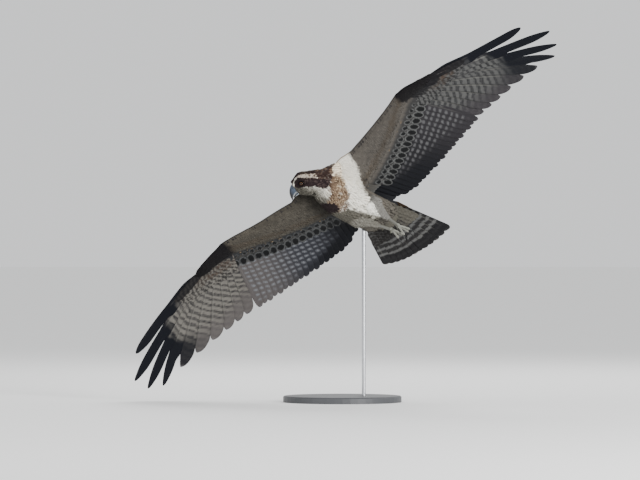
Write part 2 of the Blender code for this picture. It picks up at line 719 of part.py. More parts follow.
def flightVanes(plan, cutters):
    vanes = []
    for rank in range(SECONDARIES):
        vanes.append(wingVane(plan, rank, 1.0, 0.0, SECONDARY_WIDTHS, SECONDARY_STATIONS, cutters))
    for number in range(1, len(PRIMARY_LENGTHS) + 1):
        notches = (FINGER_NOTCHES["outer"].get(number), FINGER_NOTCHES["inner"].get(number))
        widths = PRIMARY_WIDTHS if number < 10 else FINGER_WIDTHS[:1] + PRIMARY_WIDTHS[1:]
        stations = FINGER_STATIONS if number > 5 else PRIMARY_STATIONS
        vanes.append(wingVane(plan, SECONDARIES + number - 1, 1.0, 0.0, widths, stations, cutters,
                              notches, PRIMARY_BREADTHS))
    for first, last, count, reach, lift, front, rear in WING_TIERS.values():
        for rank in np.linspace(first, last, count):
            vanes.append(wingVane(plan, rank, reach, lift, (front, rear), COVERT_STATIONS, cutters))
    return vanes


def tailFrame(rank):
    """Root, tip and lift of a tail feather, from the left outermost to the right outermost."""
    share = rank / (TAIL_FEATHERS - 1)
    left, middle, right = (np.array(TAIL_CORNERS[key]) for key in ("left", "middle", "right"))
    control = 2 * middle - (left + right) / 2
    tip = left * (1 - share) ** 2 + 2 * control * share * (1 - share) + right * share ** 2
    root = np.array([TAIL_ROOT_X, TAIL_SHIFT + TAIL_ROOT_SPREAD * (1 - 2 * share), TAIL_ROOT_LIFT])
    steps = 10 - 2 * rank if rank < 5.5 else 2 * rank - 11
    drop = TAIL_STEP * steps
    return root, tip, drop


def tailVane(rank, reach, lift, widths, stations, collection):
    root, tip, drop = tailFrame(rank)
    tangent = (tip - root) / np.linalg.norm(tip - root)
    left = tailFrame(0)[1]
    right = tailFrame(TAIL_FEATHERS - 1)[1]
    side = left - right
    side -= tangent * tangent.dot(side)
    side /= np.linalg.norm(side)
    up = np.cross(side, tangent)
    if up[2] < 0:
        up = -up
    outer, inner = widths
    if rank > (TAIL_FEATHERS - 1) / 2:
        outer, inner = inner, outer
    sections = []
    for station in stations:
        centre = root + (tip - root) * station * reach + up * (lift - drop)
        shape = rootShape(station) * tipShape(station, 0.9)
        thick = VANE_THICKNESS / 2
        sections.append(np.array([centre + side * outer * shape + up * thick,
                                  centre - side * inner * shape + up * thick,
                                  centre + side * outer * shape - up * thick,
                                  centre - side * inner * shape - up * thick]))
    return blade(sections, "vane", collection)


def buildTail(parts, cutters):
    rings = [ovalRing((x, shift, 0.0), np.eye(3), halfWidth, up, down)
             for x, shift, halfWidth, up, down in TAIL_FLESH]
    tail = loft("tail", rings, parts)
    vanes = []
    for rank in range(TAIL_FEATHERS):
        vanes.append(tailVane(rank, 1.0, 0.0, TAIL_WIDTHS, TAIL_STATIONS, cutters))
    for count, reach, lift, halfWidth in TAIL_COVERTS.values():
        for rank in np.linspace(0, TAIL_FEATHERS - 1, count):
            vanes.append(tailVane(rank, reach, lift, (halfWidth, halfWidth), COVERT_STATIONS, cutters))
    applyBoolean(tail, "UNION", vanes)
    return tail


def limb(name, start, end, radii, collection, count=THIGH_POINTS, bow=0.0):
    """A rounded limb between two points, whose radii are spread evenly along it."""
    start = np.array(start, float)
    end = np.array(end, float)
    axis = (end - start) / np.linalg.norm(end - start)
    side = np.cross([0.0, 0.0, 1.0], axis)
    side /= np.linalg.norm(side)
    up = np.cross(axis, side)
    places = np.linspace(0, 1, len(radii))
    rings = []
    angles = np.arange(count) * 2 * np.pi / count
    for place, radius in zip(places, radii):
        centre = start + (end - start) * place + up * bow * math.sin(math.pi * place)
        rings.append(centre + radius * (np.outer(np.cos(angles), side) + np.outer(np.sin(angles), up)))
    return loft(name, rings, collection)


def claw(name, root, direction, down, collection):
    """A hooked claw: a tapered tube bent through a fixed angle."""
    rings = []
    place = np.array(root, float)
    side = np.cross(down, direction)
    side /= np.linalg.norm(side)
    angles = np.arange(CLAW_POINTS) * 2 * np.pi / CLAW_POINTS
    for k in range(CLAW_RINGS):
        share = k / (CLAW_RINGS - 1)
        bend = math.radians(CLAW_BEND) * share
        forward = direction * math.cos(bend) + down * math.sin(bend)
        under = down * math.cos(bend) - direction * math.sin(bend)
        radius = CLAW_RADIUS * max(0.1, (1 - share) ** 0.8)
        rings.append(place + radius * (np.outer(np.cos(angles), side) + np.outer(np.sin(angles), under)))
        place = place + forward * CLAW_LENGTH / (CLAW_RINGS - 1)
    return loft(name, rings, collection)


def buildLeg(side, torso, parts, cutters):
    """Thigh, bare shank, foot with four toes, and four claws."""
    hip, ankle, heel = (np.array(LEGS[side][key]) for key in ("hip", "ankle", "foot"))
    made = {}
    thigh = limb("thigh_" + side, hip, ankle, THIGH_RADII, parts)
    applyBoolean(thigh, "DIFFERENCE", [grown(torso, GAP, cutters)])
    made["thigh_" + side] = thigh
    axis = (heel - ankle) / np.linalg.norm(heel - ankle)
    shank = limb("shank_" + side, ankle - axis * SHANK_RADIUS, heel - axis * GAP,
                 (SHANK_RADIUS, SHANK_RADIUS * SHANK_GIRTH, SHANK_RADIUS), parts, SHANK_POINTS)
    applyBoolean(shank, "DIFFERENCE", [grown(thigh, GAP, cutters)])
    made["shank_" + side] = shank
    foot = limb("foot_" + side, heel, heel + axis * PALM_LENGTH,
                (SHANK_RADIUS, PALM_RADIUS, PALM_RADIUS * 0.8), parts, SHANK_POINTS)
    outward = 1 if side == "left" else -1
    toes = []
    for toe, spread, length, droop in TOES:
        turn = math.radians(-spread * outward)
        level = np.array([axis[0] * math.cos(turn) - axis[1] * math.sin(turn),
                          axis[0] * math.sin(turn) + axis[1] * math.cos(turn), 0.0])
        level /= np.linalg.norm(level)
        fall = math.radians(droop)
        direction = level * math.cos(fall) + np.array([0.0, 0.0, -math.sin(fall)])
        start = heel + axis * TOE_START
        end = start + direction * length
        toes.append(limb("toe", start, end, [TOE_RADIUS * girth for girth in TOE_GIRTHS], cutters,
                         TOE_POINTS, TOE_ARCH))
        down = np.array([0.0, 0.0, -1.0])
        down = down - direction * direction.dot(down)
        down /= np.linalg.norm(down)
        name = "claw_" + side + "_" + toe
        made[name] = claw(name, end + direction * GAP, direction, down, parts)
    applyBoolean(foot, "UNION", toes)
    made["foot_" + side] = foot
    return made


def buildBase(parts):
    """A turned round base, from its profile: the top, the eased edge and the underside."""
    mesh = bpy.data.meshes.new("stand_base")
    edge = BASE_EDGE
    profile = [(0.0, BASE_HEIGHT), (BASE_RADIUS - edge, BASE_HEIGHT), (BASE_RADIUS, BASE_HEIGHT - edge),
               (BASE_RADIUS, 0.0), (0.0, 0.0)]
    mesh.from_pydata([(x * MM, 0.0, z * MM) for x, z in profile], [(k, k + 1) for k in range(4)], [])
    item = bpy.data.objects.new("stand_base", mesh)
    parts.objects.link(item)
    screw = item.modifiers.new("turned", "SCREW")
    screw.steps = BASE_STEPS
    screw.render_steps = BASE_STEPS
    screw.use_merge_vertices = True
    screw.merge_threshold = 0.00001
    return item


def birdMatrix():
    turn = Euler((math.radians(BANK), math.radians(-CLIMB), math.radians(HEADING)), "XYZ")
    matrix = turn.to_matrix().to_4x4()
    matrix.translation = Vector(ORIGIN_PLACE) * MM
    return matrix


def buildRod(pieces, parts, cutters):
    """The rod stands on the base and meets the belly face to face."""
    matrix = birdMatrix()
    place = np.array((matrix @ (Vector(ROD_PLACE) * MM))[:]) / MM
    bottom = BASE_HEIGHT + GAP
    work = bmesh.new()
    bmesh.ops.create_cone(work, cap_ends=True, segments=ROD_SIDES, radius1=ROD_RADIUS, radius2=ROD_RADIUS,
                          depth=place[2] - bottom)
    points = np.array([vert.co[:] for vert in work.verts])
    faces = [[vert.index for vert in face.verts] for face in work.faces]
    work.free()
    centre = np.array([place[0], place[1], (place[2] + bottom) / 2])
    rod = closedMesh("stand_rod", points + centre, faces, parts)
    for piece in pieces:
        cutter = grown(piece, GAP, cutters)
        cutter.matrix_world = matrix
        bpy.context.view_layer.update()
        applyBoolean(rod, "DIFFERENCE", [cutter])
    return rod


def main():
    clearScene()
    parts = makeCollection("osprey")
    cutters = makeCollection("cutters")
    materials = {name: makeMaterial(name, *values) for name, values in MATERIALS.items()}
    torso = buildTorso(parts)
    neck = buildNeck(parts)
    head = buildHead(parts, cutters)
    upper, lower = buildBill(parts, cutters)
    built = {"torso": (torso, "white_feather"), "neck": (neck, "white_feather"),
             "head": (head, "white_feather"), "bill_upper": (upper, "bill_horn"),
             "bill_lower": (lower, "bill_horn")}
    for name, eye in buildEyes(parts).items():
        built["eye_" + name] = (eye, "eye_glass")
    for side in ("left", "right"):
        wing = buildWing(side, torso, neck, parts, cutters)
        built["wing_" + side] = (wing, "flight_feather")
    built["tail"] = (buildTail(parts, cutters), "flight_feather")
    legSlots = {"thigh": "white_feather", "shank": "foot_skin", "foot": "foot_skin", "claw": "claw_horn"}
    for side in ("left", "right"):
        for name, piece in buildLeg(side, torso, parts, cutters).items():
            built[name] = (piece, legSlots[name.split("_")[0]])
    anchor = bpy.data.objects.new("bird_pose", None)
    parts.objects.link(anchor)
    anchor.matrix_world = birdMatrix()
    for name, (piece, slot) in built.items():
        finish(piece, name, materials[slot])
        piece.parent = anchor
    carried = [torso, built["thigh_right"][0]]
    finish(buildRod(carried, parts, cutters), "stand_rod", materials["stand_steel"])
    base = buildBase(parts)
    base.data.materials.append(materials["stand_paint"])
    base.data.shade_smooth()
    base.data.set_sharp_from_angle(angle=math.radians(30))
    bpy.context.view_layer.update()


main()
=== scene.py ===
import math

import bpy
import numpy as np
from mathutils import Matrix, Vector


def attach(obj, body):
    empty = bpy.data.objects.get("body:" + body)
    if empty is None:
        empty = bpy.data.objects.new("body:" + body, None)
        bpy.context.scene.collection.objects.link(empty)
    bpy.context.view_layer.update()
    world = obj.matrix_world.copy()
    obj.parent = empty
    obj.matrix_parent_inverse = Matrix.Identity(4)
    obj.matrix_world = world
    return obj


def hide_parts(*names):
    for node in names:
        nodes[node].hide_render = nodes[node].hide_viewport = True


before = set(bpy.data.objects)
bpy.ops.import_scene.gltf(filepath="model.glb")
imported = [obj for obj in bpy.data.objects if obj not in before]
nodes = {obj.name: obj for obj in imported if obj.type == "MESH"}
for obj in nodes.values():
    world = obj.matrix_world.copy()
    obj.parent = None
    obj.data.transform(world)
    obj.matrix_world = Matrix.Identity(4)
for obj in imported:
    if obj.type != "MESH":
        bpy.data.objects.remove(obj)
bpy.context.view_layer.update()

# The bird's own frame: x towards the breast, y towards its left wing, z towards its back, millimetres
pose = {"heading": 226.37, "climb": 24.30, "bank": 43.23, "place": (-13.0, -46.0, 607.0)}


def turned(yaw, pitch, roll):
    # three turns in a row: about z by the yaw, about y by the pitch, about x by the roll
    z, y, x = (math.radians(angle) for angle in (yaw, pitch, roll))
    aboutZ = np.array([[math.cos(z), -math.sin(z), 0], [math.sin(z), math.cos(z), 0], [0, 0, 1]])
    aboutY = np.array([[math.cos(y), 0, math.sin(y)], [0, 1, 0], [-math.sin(y), 0, math.cos(y)]])
    aboutX = np.array([[1, 0, 0], [0, math.cos(x), -math.sin(x)], [0, math.sin(x), math.cos(x)]])
    return aboutZ @ aboutY @ aboutX


poseAxes = turned(pose["heading"], -pose["climb"], pose["bank"])


def toWorld(points):
    # the bird's millimetres, turned by the pose and moved to its place over the stand, in metres
    return (np.asarray(points, float) @ poseAxes.T + np.array(pose["place"])) * 0.001


def unit(vectors):
    return vectors / np.maximum(np.linalg.norm(vectors, axis=-1, keepdims=True), 1e-9)


def smoothStep(low, high, value):
    # 0 below low, 1 above high, an S curve between
    u = np.clip((value - low) / (high - low), 0, 1)
    return u * u * (3 - 2 * u)


def within(low, high, soft, value):
    # 1 inside the range, fading over a soft width at both of its ends
    return smoothStep(low - soft, low + soft, value) * (1 - smoothStep(high - soft, high + soft, value))


def mixed(first, second, amount):
    # colours blended by an amount: 0 gives the first, 1 the second
    amount = np.asarray(amount)[..., None]
    return np.asarray(first) * (1 - amount) + np.asarray(second) * amount


def smoothRows(table, places):
    # values between the rows of a table, on a smooth cubic through them
    table = np.array(table, float)
    places = np.asarray(places, float)
    knots, values = table[:, 0], table[:, 1:]
    slopes = np.gradient(values, knots, axis=0)
    left = np.clip(np.searchsorted(knots, places, side="right") - 1, 0, len(knots) - 2)
    span = (knots[left + 1] - knots[left])[..., None]
    u = (places - knots[left])[..., None] / span
    return (values[left] * (1 + 2 * u) * (1 - u) ** 2 + slopes[left] * span * u * (1 - u) ** 2
            + values[left + 1] * u * u * (3 - 2 * u) - slopes[left + 1] * span * u * u * (1 - u))


def ripple(points, size, seed):
    # a soft, repeatable unevenness between about -1 and 1: a few sine waves in seeded directions
    draw = np.random.default_rng(seed)
    total = np.zeros(points.shape[:-1])
    for k in range(5):
        direction = unit(draw.normal(size=3))
        total += np.sin(points @ direction * (2 * math.pi / size) * (0.7 + 0.35 * k) + draw.uniform(0, 6.3))
    return total / 3.2


def makePiece(name, points, faces, tints, bake, material, slot, replaces=(), barbs=None):
    # points in the bird's frame; faces are arrays of quads or triangles; one tint and one place
    # on the bake map for each point
    mesh = bpy.data.meshes.new(name)
    groups = [np.asarray(group, np.int32) for group in (faces if isinstance(faces, list) else [faces])]
    corners = np.concatenate([group.ravel() for group in groups])
    sizes = np.concatenate([np.full(len(group), group.shape[1], np.int32) for group in groups])
    mesh.vertices.add(len(points))
    mesh.vertices.foreach_set("co", toWorld(points).astype(np.float32).ravel())
    mesh.loops.add(len(corners))
    mesh.loops.foreach_set("vertex_index", corners)
    mesh.polygons.add(len(sizes))
    mesh.polygons.foreach_set("loop_start", np.concatenate([[0], np.cumsum(sizes)[:-1]]).astype(np.int32))
    mesh.update(calc_edges=True)
    tint = mesh.color_attributes.new("tint", "FLOAT_COLOR", "POINT")
    tint.data.foreach_set("color", np.c_[np.clip(tints, 0, 1), np.ones(len(points))].astype(np.float32).ravel())
    layer = mesh.uv_layers.new(name="OFBake")
    layer.data.foreach_set("uv", np.asarray(bake, np.float32)[corners].ravel())
    if barbs is not None:
        layer = mesh.uv_layers.new(name="barbs")
        layer.data.foreach_set("uv", np.asarray(barbs, np.float32)[corners].ravel())
    mesh.validate()
    mesh.shade_smooth()
    item = bpy.data.objects.new(name, mesh)
    bpy.context.scene.collection.objects.link(item)
    mesh.materials.append(material)
    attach(item, "root")
    if replaces:
        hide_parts(*replaces)
    print(name, len(points), "points,", int((sizes - 2).sum()), "triangles")
    return item


def gridFaces(rows, columns, closed=False):
    # quads over a grid of points kept row by row; a closed grid joins its last column to its first
    a = np.arange(rows - 1)[:, None] * columns + np.arange(columns if closed else columns - 1)[None, :]
    after = np.arange(1, a.shape[1] + 1) % columns - np.arange(a.shape[1])
    b = a + after[None, :]
    return np.stack([a, b, b + columns, a + columns], -1).reshape(-1, 4)


def tubeFaces(rows, columns):
    # a closed tube over rings of points, with a fan of triangles round the middle of each end cap;
    # the two middles are the last two points
    first = rows * columns
    k = np.arange(columns)
    after = (k + 1) % columns
    start = np.stack([np.full(columns, first), after, k], -1)
    base = (rows - 1) * columns
    end = np.stack([np.full(columns, first + 1), base + k, base + after], -1)
    return [gridFaces(rows, columns, True), start, end]


def tubePoints(rings):
    # the rings one after another, then the middle of the first and of the last ring
    rings = np.asarray(rings)
    return np.concatenate([rings.reshape(-1, 3), rings[0].mean(0)[None], rings[-1].mean(0)[None]])


def shiftedFaces(faces, count, step):
    # the same faces repeated for many like pieces, each with its own stretch of points
    return (faces[None] + (np.arange(count) * step)[:, None, None]).reshape(-1, faces.shape[1])


def atlasCells(count, local, low=(0.0, 0.0), high=(1.0, 1.0)):
    # each piece's own 0 to 1 map, shrunk into its own cell of a square table of cells
    across = int(math.ceil(math.sqrt(count)))
    cell = 1.0 / across
    k = np.arange(count)
    corner = np.stack([k % across, k // across], -1) * cell
    inside = corner[:, None, :] + (0.04 + 0.92 * local) * cell
    return np.array(low) + inside * (np.array(high) - np.array(low))


# Materials: the tint carries the markings, and the nodes add the grain of barbs, down and horn
materialSettings = {
    "featherDown": {"rough": 0.9, "grain": 900.0, "depth": 0.14, "spread": 0.12, "gloss": 0.12},
    "featherCovert": {"rough": 0.8, "grain": 700.0, "depth": 0.18, "spread": 0.12, "gloss": 0.14},
    "skin": {"rough": 0.95, "grain": 500.0, "depth": 0.1, "spread": 0.08, "gloss": 0.1},
    "horn": {"rough": 0.34, "grain": 260.0, "depth": 0.05, "spread": 0.10, "gloss": 0.5},
    "scale": {"rough": 0.55, "grain": 420.0, "depth": 0.35, "spread": 0.16, "gloss": 0.4},
}


def newMaterial(name):
    material = bpy.data.materials.new(name)
    material.use_nodes = True
    return material, material.node_tree.nodes, material.node_tree.links


def tintedMaterial(name, rough, grain, depth, spread, gloss):
    # the tint made a little lighter and darker by noise, and a fine bump in the object's own place
    material, nodeSet, links = newMaterial(name)
    shader = nodeSet["Principled BSDF"]
    tint = nodeSet.new("ShaderNodeAttribute")
    tint.attribute_name = "tint"
    place = nodeSet.new("ShaderNodeTexCoord")
    noise = nodeSet.new("ShaderNodeTexNoise")
    noise.inputs["Scale"].default_value = grain
    noise.inputs["Detail"].default_value = 3.0
    links.new(place.outputs["Object"], noise.inputs["Vector"])
    span = nodeSet.new("ShaderNodeMapRange")
    span.inputs["To Min"].default_value = 1.0 - spread
    span.inputs["To Max"].default_value = 1.0 + spread
    links.new(noise.outputs["Fac"], span.inputs["Value"])
    shade = nodeSet.new("ShaderNodeVectorMath")
    shade.operation = "SCALE"
    links.new(tint.outputs["Color"], shade.inputs[0])
    links.new(span.outputs["Result"], shade.inputs["Scale"])
    links.new(shade.outputs["Vector"], shader.inputs["Base Color"])
    bump = nodeSet.new("ShaderNodeBump")
    bump.inputs["Strength"].default_value = depth
    bump.inputs["Distance"].default_value = 0.0006
    links.new(noise.outputs["Fac"], bump.inputs["Height"])
    links.new(bump.outputs["Normal"], shader.inputs["Normal"])
    shader.inputs["Roughness"].default_value = rough
    shader.inputs["Specular IOR Level"].default_value = gloss
    return material


flightMaterialSettings = {"rough": 0.62, "barbsPerMetre": 1500.0, "slant": 0.55, "depth": 0.22, "spread": 0.09,
                          "gloss": 0.16}


def flightMaterial(name, rough, barbsPerMetre, slant, depth, spread, gloss):
    # barbs: fine waves that run slantwise from the shaft, in the vane's own map of metres
    material, nodeSet, links = newMaterial(name)
    shader = nodeSet["Principled BSDF"]
    tint = nodeSet.new("ShaderNodeAttribute")
    tint.attribute_name = "tint"
    vane = nodeSet.new("ShaderNodeUVMap")
    vane.uv_map = "barbs"
    parts = nodeSet.new("ShaderNodeSeparateXYZ")
    links.new(vane.outputs["UV"], parts.inputs["Vector"])
    away = nodeSet.new("ShaderNodeMath")
    away.operation = "ABSOLUTE"
    links.new(parts.outputs["Y"], away.inputs[0])
    slanted = nodeSet.new("ShaderNodeMath")
    slanted.operation = "MULTIPLY_ADD"
    slanted.inputs[1].default_value = -slant
    links.new(away.outputs["Value"], slanted.inputs[0])
    links.new(parts.outputs["X"], slanted.inputs[2])
    scaled = nodeSet.new("ShaderNodeMath")
    scaled.operation = "MULTIPLY"
    scaled.inputs[1].default_value = barbsPerMetre
    links.new(slanted.outputs["Value"], scaled.inputs[0])
    wave = nodeSet.new("ShaderNodeMath")
    wave.operation = "SINE"
    links.new(scaled.outputs["Value"], wave.inputs[0])
    noise = nodeSet.new("ShaderNodeTexNoise")
    noise.inputs["Scale"].default_value = 160.0
    noise.inputs["Detail"].default_value = 4.0
    place = nodeSet.new("ShaderNodeTexCoord")
    links.new(place.outputs["Object"], noise.inputs["Vector"])
    span = nodeSet.new("ShaderNodeMapRange")
    span.inputs["To Min"].default_value = 1.0 - spread
    span.inputs["To Max"].default_value = 1.0 + spread
    links.new(noise.outputs["Fac"], span.inputs["Value"])
    shade = nodeSet.new("ShaderNodeVectorMath")
    shade.operation = "SCALE"
    links.new(tint.outputs["Color"], shade.inputs[0])
    links.new(span.outputs["Result"], shade.inputs["Scale"])
    links.new(shade.outputs["Vector"], shader.inputs["Base Color"])
    bump = nodeSet.new("ShaderNodeBump")
    bump.inputs["Strength"].default_value = depth
    bump.inputs["Distance"].default_value = 0.0002
    links.new(wave.outputs["Value"], bump.inputs["Height"])
    links.new(bump.outputs["Normal"], shader.inputs["Normal"])
    shader.inputs["Roughness"].default_value = rough
    shader.inputs["Specular IOR Level"].default_value = gloss
    return material


materials = {name: tintedMaterial(name, **settings) for name, settings in materialSettings.items()}
materials["featherFlight"] = flightMaterial("featherFlight", **flightMaterialSettings)


# The body's skin: rings across a path that runs up the torso, round the bent neck and out to the face
body = {
    "torso": [               # place along, shift to the left, half width, back, belly
        (-212.0, 11.0, 60.0, 16.0, -18.0),
        (-190.0, 10.0, 60.0, 23.0, -29.0),
        (-150.0, 7.0, 59.0, 33.0, -44.0),
        (-100.0, 2.0, 59.0, 40.0, -57.0),
        (-50.0, 0.0, 60.0, 44.0, -65.0),
        (0.0, 0.0, 60.0, 46.0, -64.0),
        (40.0, 0.0, 52.0, 42.0, -55.0),
        (76.5, 0.0, 37.0, 31.0, -38.0),
    ],
    "neck": [                # share of the neck's arc
        (0.25, 0.0, 34.5, 25.5, -37.0),
        (0.5, 0.0, 31.5, 21.5, -35.0),
        (0.75, 0.0, 29.5, 22.0, -33.5),
    ],
    "head": [                # distance in front of the skull's middle
        (0.0, 0.0, 28.5, 25.5, -32.0),
        (8.0, 0.0, 27.5, 26.0, -32.0),
        (16.0, 0.0, 24.8, 24.5, -30.5),
        (24.0, 0.0, 20.5, 21.5, -28.5),
        (31.0, 0.0, 15.5, 17.0, -25.5),
        (37.0, 0.0, 11.5, 12.5, -22.5),
    ],
    "neckTurn": (-73.6, 8.3, -44.1),
    "neckRadius": 37.0, "neckPivot": (76.5, -42.0), "neckRise": 2.0,
    "depth": 3.6, "headDepth": 1.6,          # of the coat over the skin
    "around": 96, "spacing": 2.2,
}
neckStart = body["torso"][-1][0]
neckArc = body["neckRadius"] * math.radians(-body["neckTurn"][0])
headStart = neckStart + neckArc
faceEnd = headStart + body["head"][-1][0]
bodyStations = (body["torso"] + [(neckStart + row[0] * neckArc,) + row[1:] for row in body["neck"]]
                + [(headStart + row[0],) + row[1:] for row in body["head"]])


def neckFrames(share):
    # middles and axes along the neck's arc; the turn grows in step with the share
    yaw, pitch, roll = body["neckTurn"]
    turn = np.radians(-yaw) * share
    middles = np.stack([body["neckPivot"][0] + body["neckRadius"] * np.sin(turn),
                        body["neckPivot"][1] + body["neckRadius"] * np.cos(turn),
                        body["neckRise"] * share], -1)
    flat = np.ravel(share)
    axes = np.array([turned(yaw * s, pitch * s, roll * s) for s in flat]).reshape(np.shape(share) + (3, 3))
    return middles, axes


headCentre, headAxes = (value[0] for value in neckFrames(np.array([1.0])))


def headPoints(places):
    # forward, left and up of the skull's middle, in the head's own axes
    return headCentre + np.asarray(places, float) @ headAxes.T


def pathFrames(places):
    # middle and axes at places along the path: straight, then on the arc, then straight ahead
    share = np.clip((places - neckStart) / neckArc, 0, 1)
    middles, axes = neckFrames(share)
    before = np.minimum(places - neckStart, 0)
    after = np.maximum(places - headStart, 0)
    return middles + before[..., None] * np.array([1.0, 0, 0]) + after[..., None] * axes[..., :, 0], axes


headForms = [                # forward, left, up, reach, height: brow, cheek, eye hollow, chin, forehead, crown
    (15.0, 22.5, 7.0, 7.5, 2.6),
    (6.0, 22.5, 5.5, 6.0, 1.4),
    (-2.0, 24.0, -15.0, 13.0, 2.0),
    (12.0, 25.5, -2.0, 7.0, -2.4),
    (28.0, 15.0, -6.0, 7.0, -1.4),
    (24.0, 13.0, 16.0, 9.0, 1.2),
    (38.0, 3.0, 8.0, 13.0, 4.4),
    (28.0, 2.0, 18.0, 13.0, 0.6),
    (12.0, 0.0, 26.0, 14.0, 1.4),
    (-4.0, 0.0, 23.0, 14.0, 1.2),
    (-20.0, 0.0, 15.0, 14.0, 0.9),
    (-36.0, 0.0, 8.0, 14.0, 0.8),
]
bodyForms = [                # place in the bird's frame, reach, height: left shoulder, nape, throat, its base
    (56.0, 38.0, 22.0, 22.0, 8.0),
    (70.0, 36.0, 6.0, 20.0, 10.0),
    (63.0, 42.0, 12.0, 20.0, 15.0),
    (96.0, -42.0, -27.0, 24.0, 9.0),
    (70.0, -38.0, -30.0, 26.0, 6.0),
    (103.0, -39.0, -36.0, 15.0, 5.0),
    (-64.0, 44.0, -42.0, 20.0, 8.0),
]


def skinPoints(places, angles, inset=0.0):
    # an oval across the path: half width times the cosine, and the rise from belly to back by the sine;
    # then the forms, each a soft bump along the oval's own outward direction
    middles, axes = pathFrames(places)
    shift, halfWidth, up, down = np.moveaxis(smoothRows(bodyStations, places), -1, 0)
    side = halfWidth * np.cos(angles)
    rise = (up + down) / 2 + (up - down) / 2 * np.sin(angles)
    outward = unit(np.stack([np.cos(angles) / halfWidth, np.sin(angles) * 2 / (up - down)], -1))
    points = (middles + (side + shift)[..., None] * axes[..., :, 1] + rise[..., None] * axes[..., :, 2])
    direction = outward[..., :1] * axes[..., :, 1] + outward[..., 1:] * axes[..., :, 2]
    swell = np.zeros(points.shape[:-1])
    for forward, left, high, reach, height in headForms:
        for sign in (1, -1):
            gap = np.linalg.norm(points - headPoints((forward, left * sign, high)), axis=-1)
            swell += height * np.exp(-(gap / reach) ** 2)
    for x, y, z, reach, height in bodyForms:
        swell += height * np.exp(-(np.linalg.norm(points - np.array([x, y, z]), axis=-1) / reach) ** 2)
    return points + direction * (swell - inset)[..., None]


def skinFrames(places, angles, inset=0.0):
    # the point with its outward normal and the direction back towards the tail, from small steps
    here = skinPoints(places, angles, inset)
    ahead = skinPoints(places + 0.8, angles, inset) - skinPoints(places - 0.8, angles, inset)
    around = skinPoints(places, angles + 0.02, inset) - skinPoints(places, angles - 0.02, inset)
    normal = unit(np.cross(around, ahead))
    return here, normal, unit(-ahead)


def skinUnwrap(places, angles):
    # along the path and round it, the back at both edges so that the belly is whole
    low, high = bodyStations[0][0], bodyStations[-1][0]
    return np.stack([(places - low) / (high - low) * 0.96 + 0.02,
                     np.mod(angles / (2 * math.pi) + 0.25, 1.0) * 0.96 + 0.02], -1)


paintDepth = 1.32            # deepens the middle tones, which the soft studio light lifts


def paint(red, green, blue):
    # a colour as seen on a screen, 0 to 255, turned into the light values that shading works with
    seen = np.array([red, green, blue], float) / 255
    return np.where(seen <= 0.04045, seen / 12.92, ((seen + 0.055) / 1.055) ** 2.4) ** paintDepth


def tableAt(table, places):
    # straight lines between the rows of a table, one value for each column
    table = np.array(table, float)
    values = [np.interp(places, table[:, 0], column) for column in table[:, 1:].T]
    return values[0] if len(values) == 1 else values


# Markings of head and body, by the place along the path and the angle round it in degrees:
# 0 is the left side, 90 the back or crown, -90 the belly or throat
plumage = {
    "white": paint(238, 236, 228), "cream": paint(222, 212, 190), "buff": paint(128, 110, 95), "brow": paint(200, 190, 178),
    "creamBand": paint(248, 236, 216), "paintedThroatShade": paint(92, 89, 82), "bandFringe": paint(206, 188, 162),
    "brown": paint(92, 74, 62), "darkBrown": paint(56, 42, 40), "napeBrown": paint(74, 60, 56), "backFringe": paint(176, 162, 140),
    "stripe": paint(60, 50, 51), "stripeFleck": paint(104, 92, 88), "thigh": paint(126, 124, 120), "flank": paint(126, 121, 113),
    # the last tone on the next line is painted shade, for the lower right of the belly and the thighs
    "vent": paint(116, 112, 105), "shade": paint(112, 109, 101),
    # the edge of the white on the left flank
    "flankEdge": [(-215, -100), (-150, -82), (-131, -66), (-104, -50), (-77, -33), (-52, -19), (-31, -5), (-10, 10),
                  (10, 22), (40, 34)],
    # planes that end the white: towards the left flank, and towards the lower right side of the belly, past which
    # painted shade begins
    "flankPlane": (-0.350, 0.934, 0.070, 66.0, 3.5), "paintedShadePlane": (-0.170, -0.762, -0.589, 38.0, 5.0),
    "rows": [(-215, 6.0), (20, 4.6), (76, 3.2), (100, 2.4), (124, 1.9), (140, 1.5), (161, 1.1)],
    "lengths": [(-215, 26), (-100, 24), (20, 19), (76, 14), (100, 11), (124, 8.0), (140, 5.6), (150, 4.2),
                (161, 3.0)],
    "slimness": 0.30,
    "lift": [(-215, 9), (20, 9), (76, 10), (124, 9), (161, 14)],
}


def sideAngle(angles):
    # degrees folded so that both sides read alike: 90 at the crown, 0 at either side, -90 below
    turned = np.mod(np.degrees(angles) + 180, 360) - 180
    return np.where(np.abs(turned) <= 90, turned, np.sign(turned + 1e-9) * 180 - turned)


def headPlaces(points):
    return (points - headCentre) @ headAxes


# Outlines in the head's side view, in millimetres behind the eye and below it: markings, the area of painted shade on
# the throat, and a painted shadow where the breast meets the right wing
faceShapes = {
    "stripe": [(-22, -3), (-14, -15), (2, -15), (31, -14), (54, -11), (80, -10), (76, 12), (60, 16), (31, 11),
               (6, 11), (-9, 14), (-22, 12)],
    "nape": [(41, -45), (66, -56), (90, -68), (88, -30), (82, -8), (73, 10), (60, 16), (46, -9), (33, -27)],
    "crown": [(-34, 9), (-24, -8), (-15, -20), (6, -26), (31, -27), (52, -34), (60, -94), (-60, -94), (-60, 9)],
    "rim": [(-60, 10), (-26, 8), (-24.5, 1), (-19.5, -12), (-5, -27), (10, -33), (12, -60), (-60, -60)],
    "bandTop": [(89, -68), (102, -62), (114, -30), (122, 0), (112, 14), (86, 10), (82, -8), (88, -30)],
    "band": [(84, -12), (98, -30), (113, -12), (129, 22), (131, 62), (118, 77), (92, 79), (70, 72), (71, 50), (82, 36),
             (77, 12)],
    "spot": [(48, 56), (74, 52), (98, 58), (106, 76), (80, 84), (54, 76)],
    "cheek": [(-26, 12), (6, 11), (31, 11), (60, 15), (84, 14), (88, 40), (72, 58), (74, 130), (-40, 130)],
}
viewTilt = math.radians(35.0)


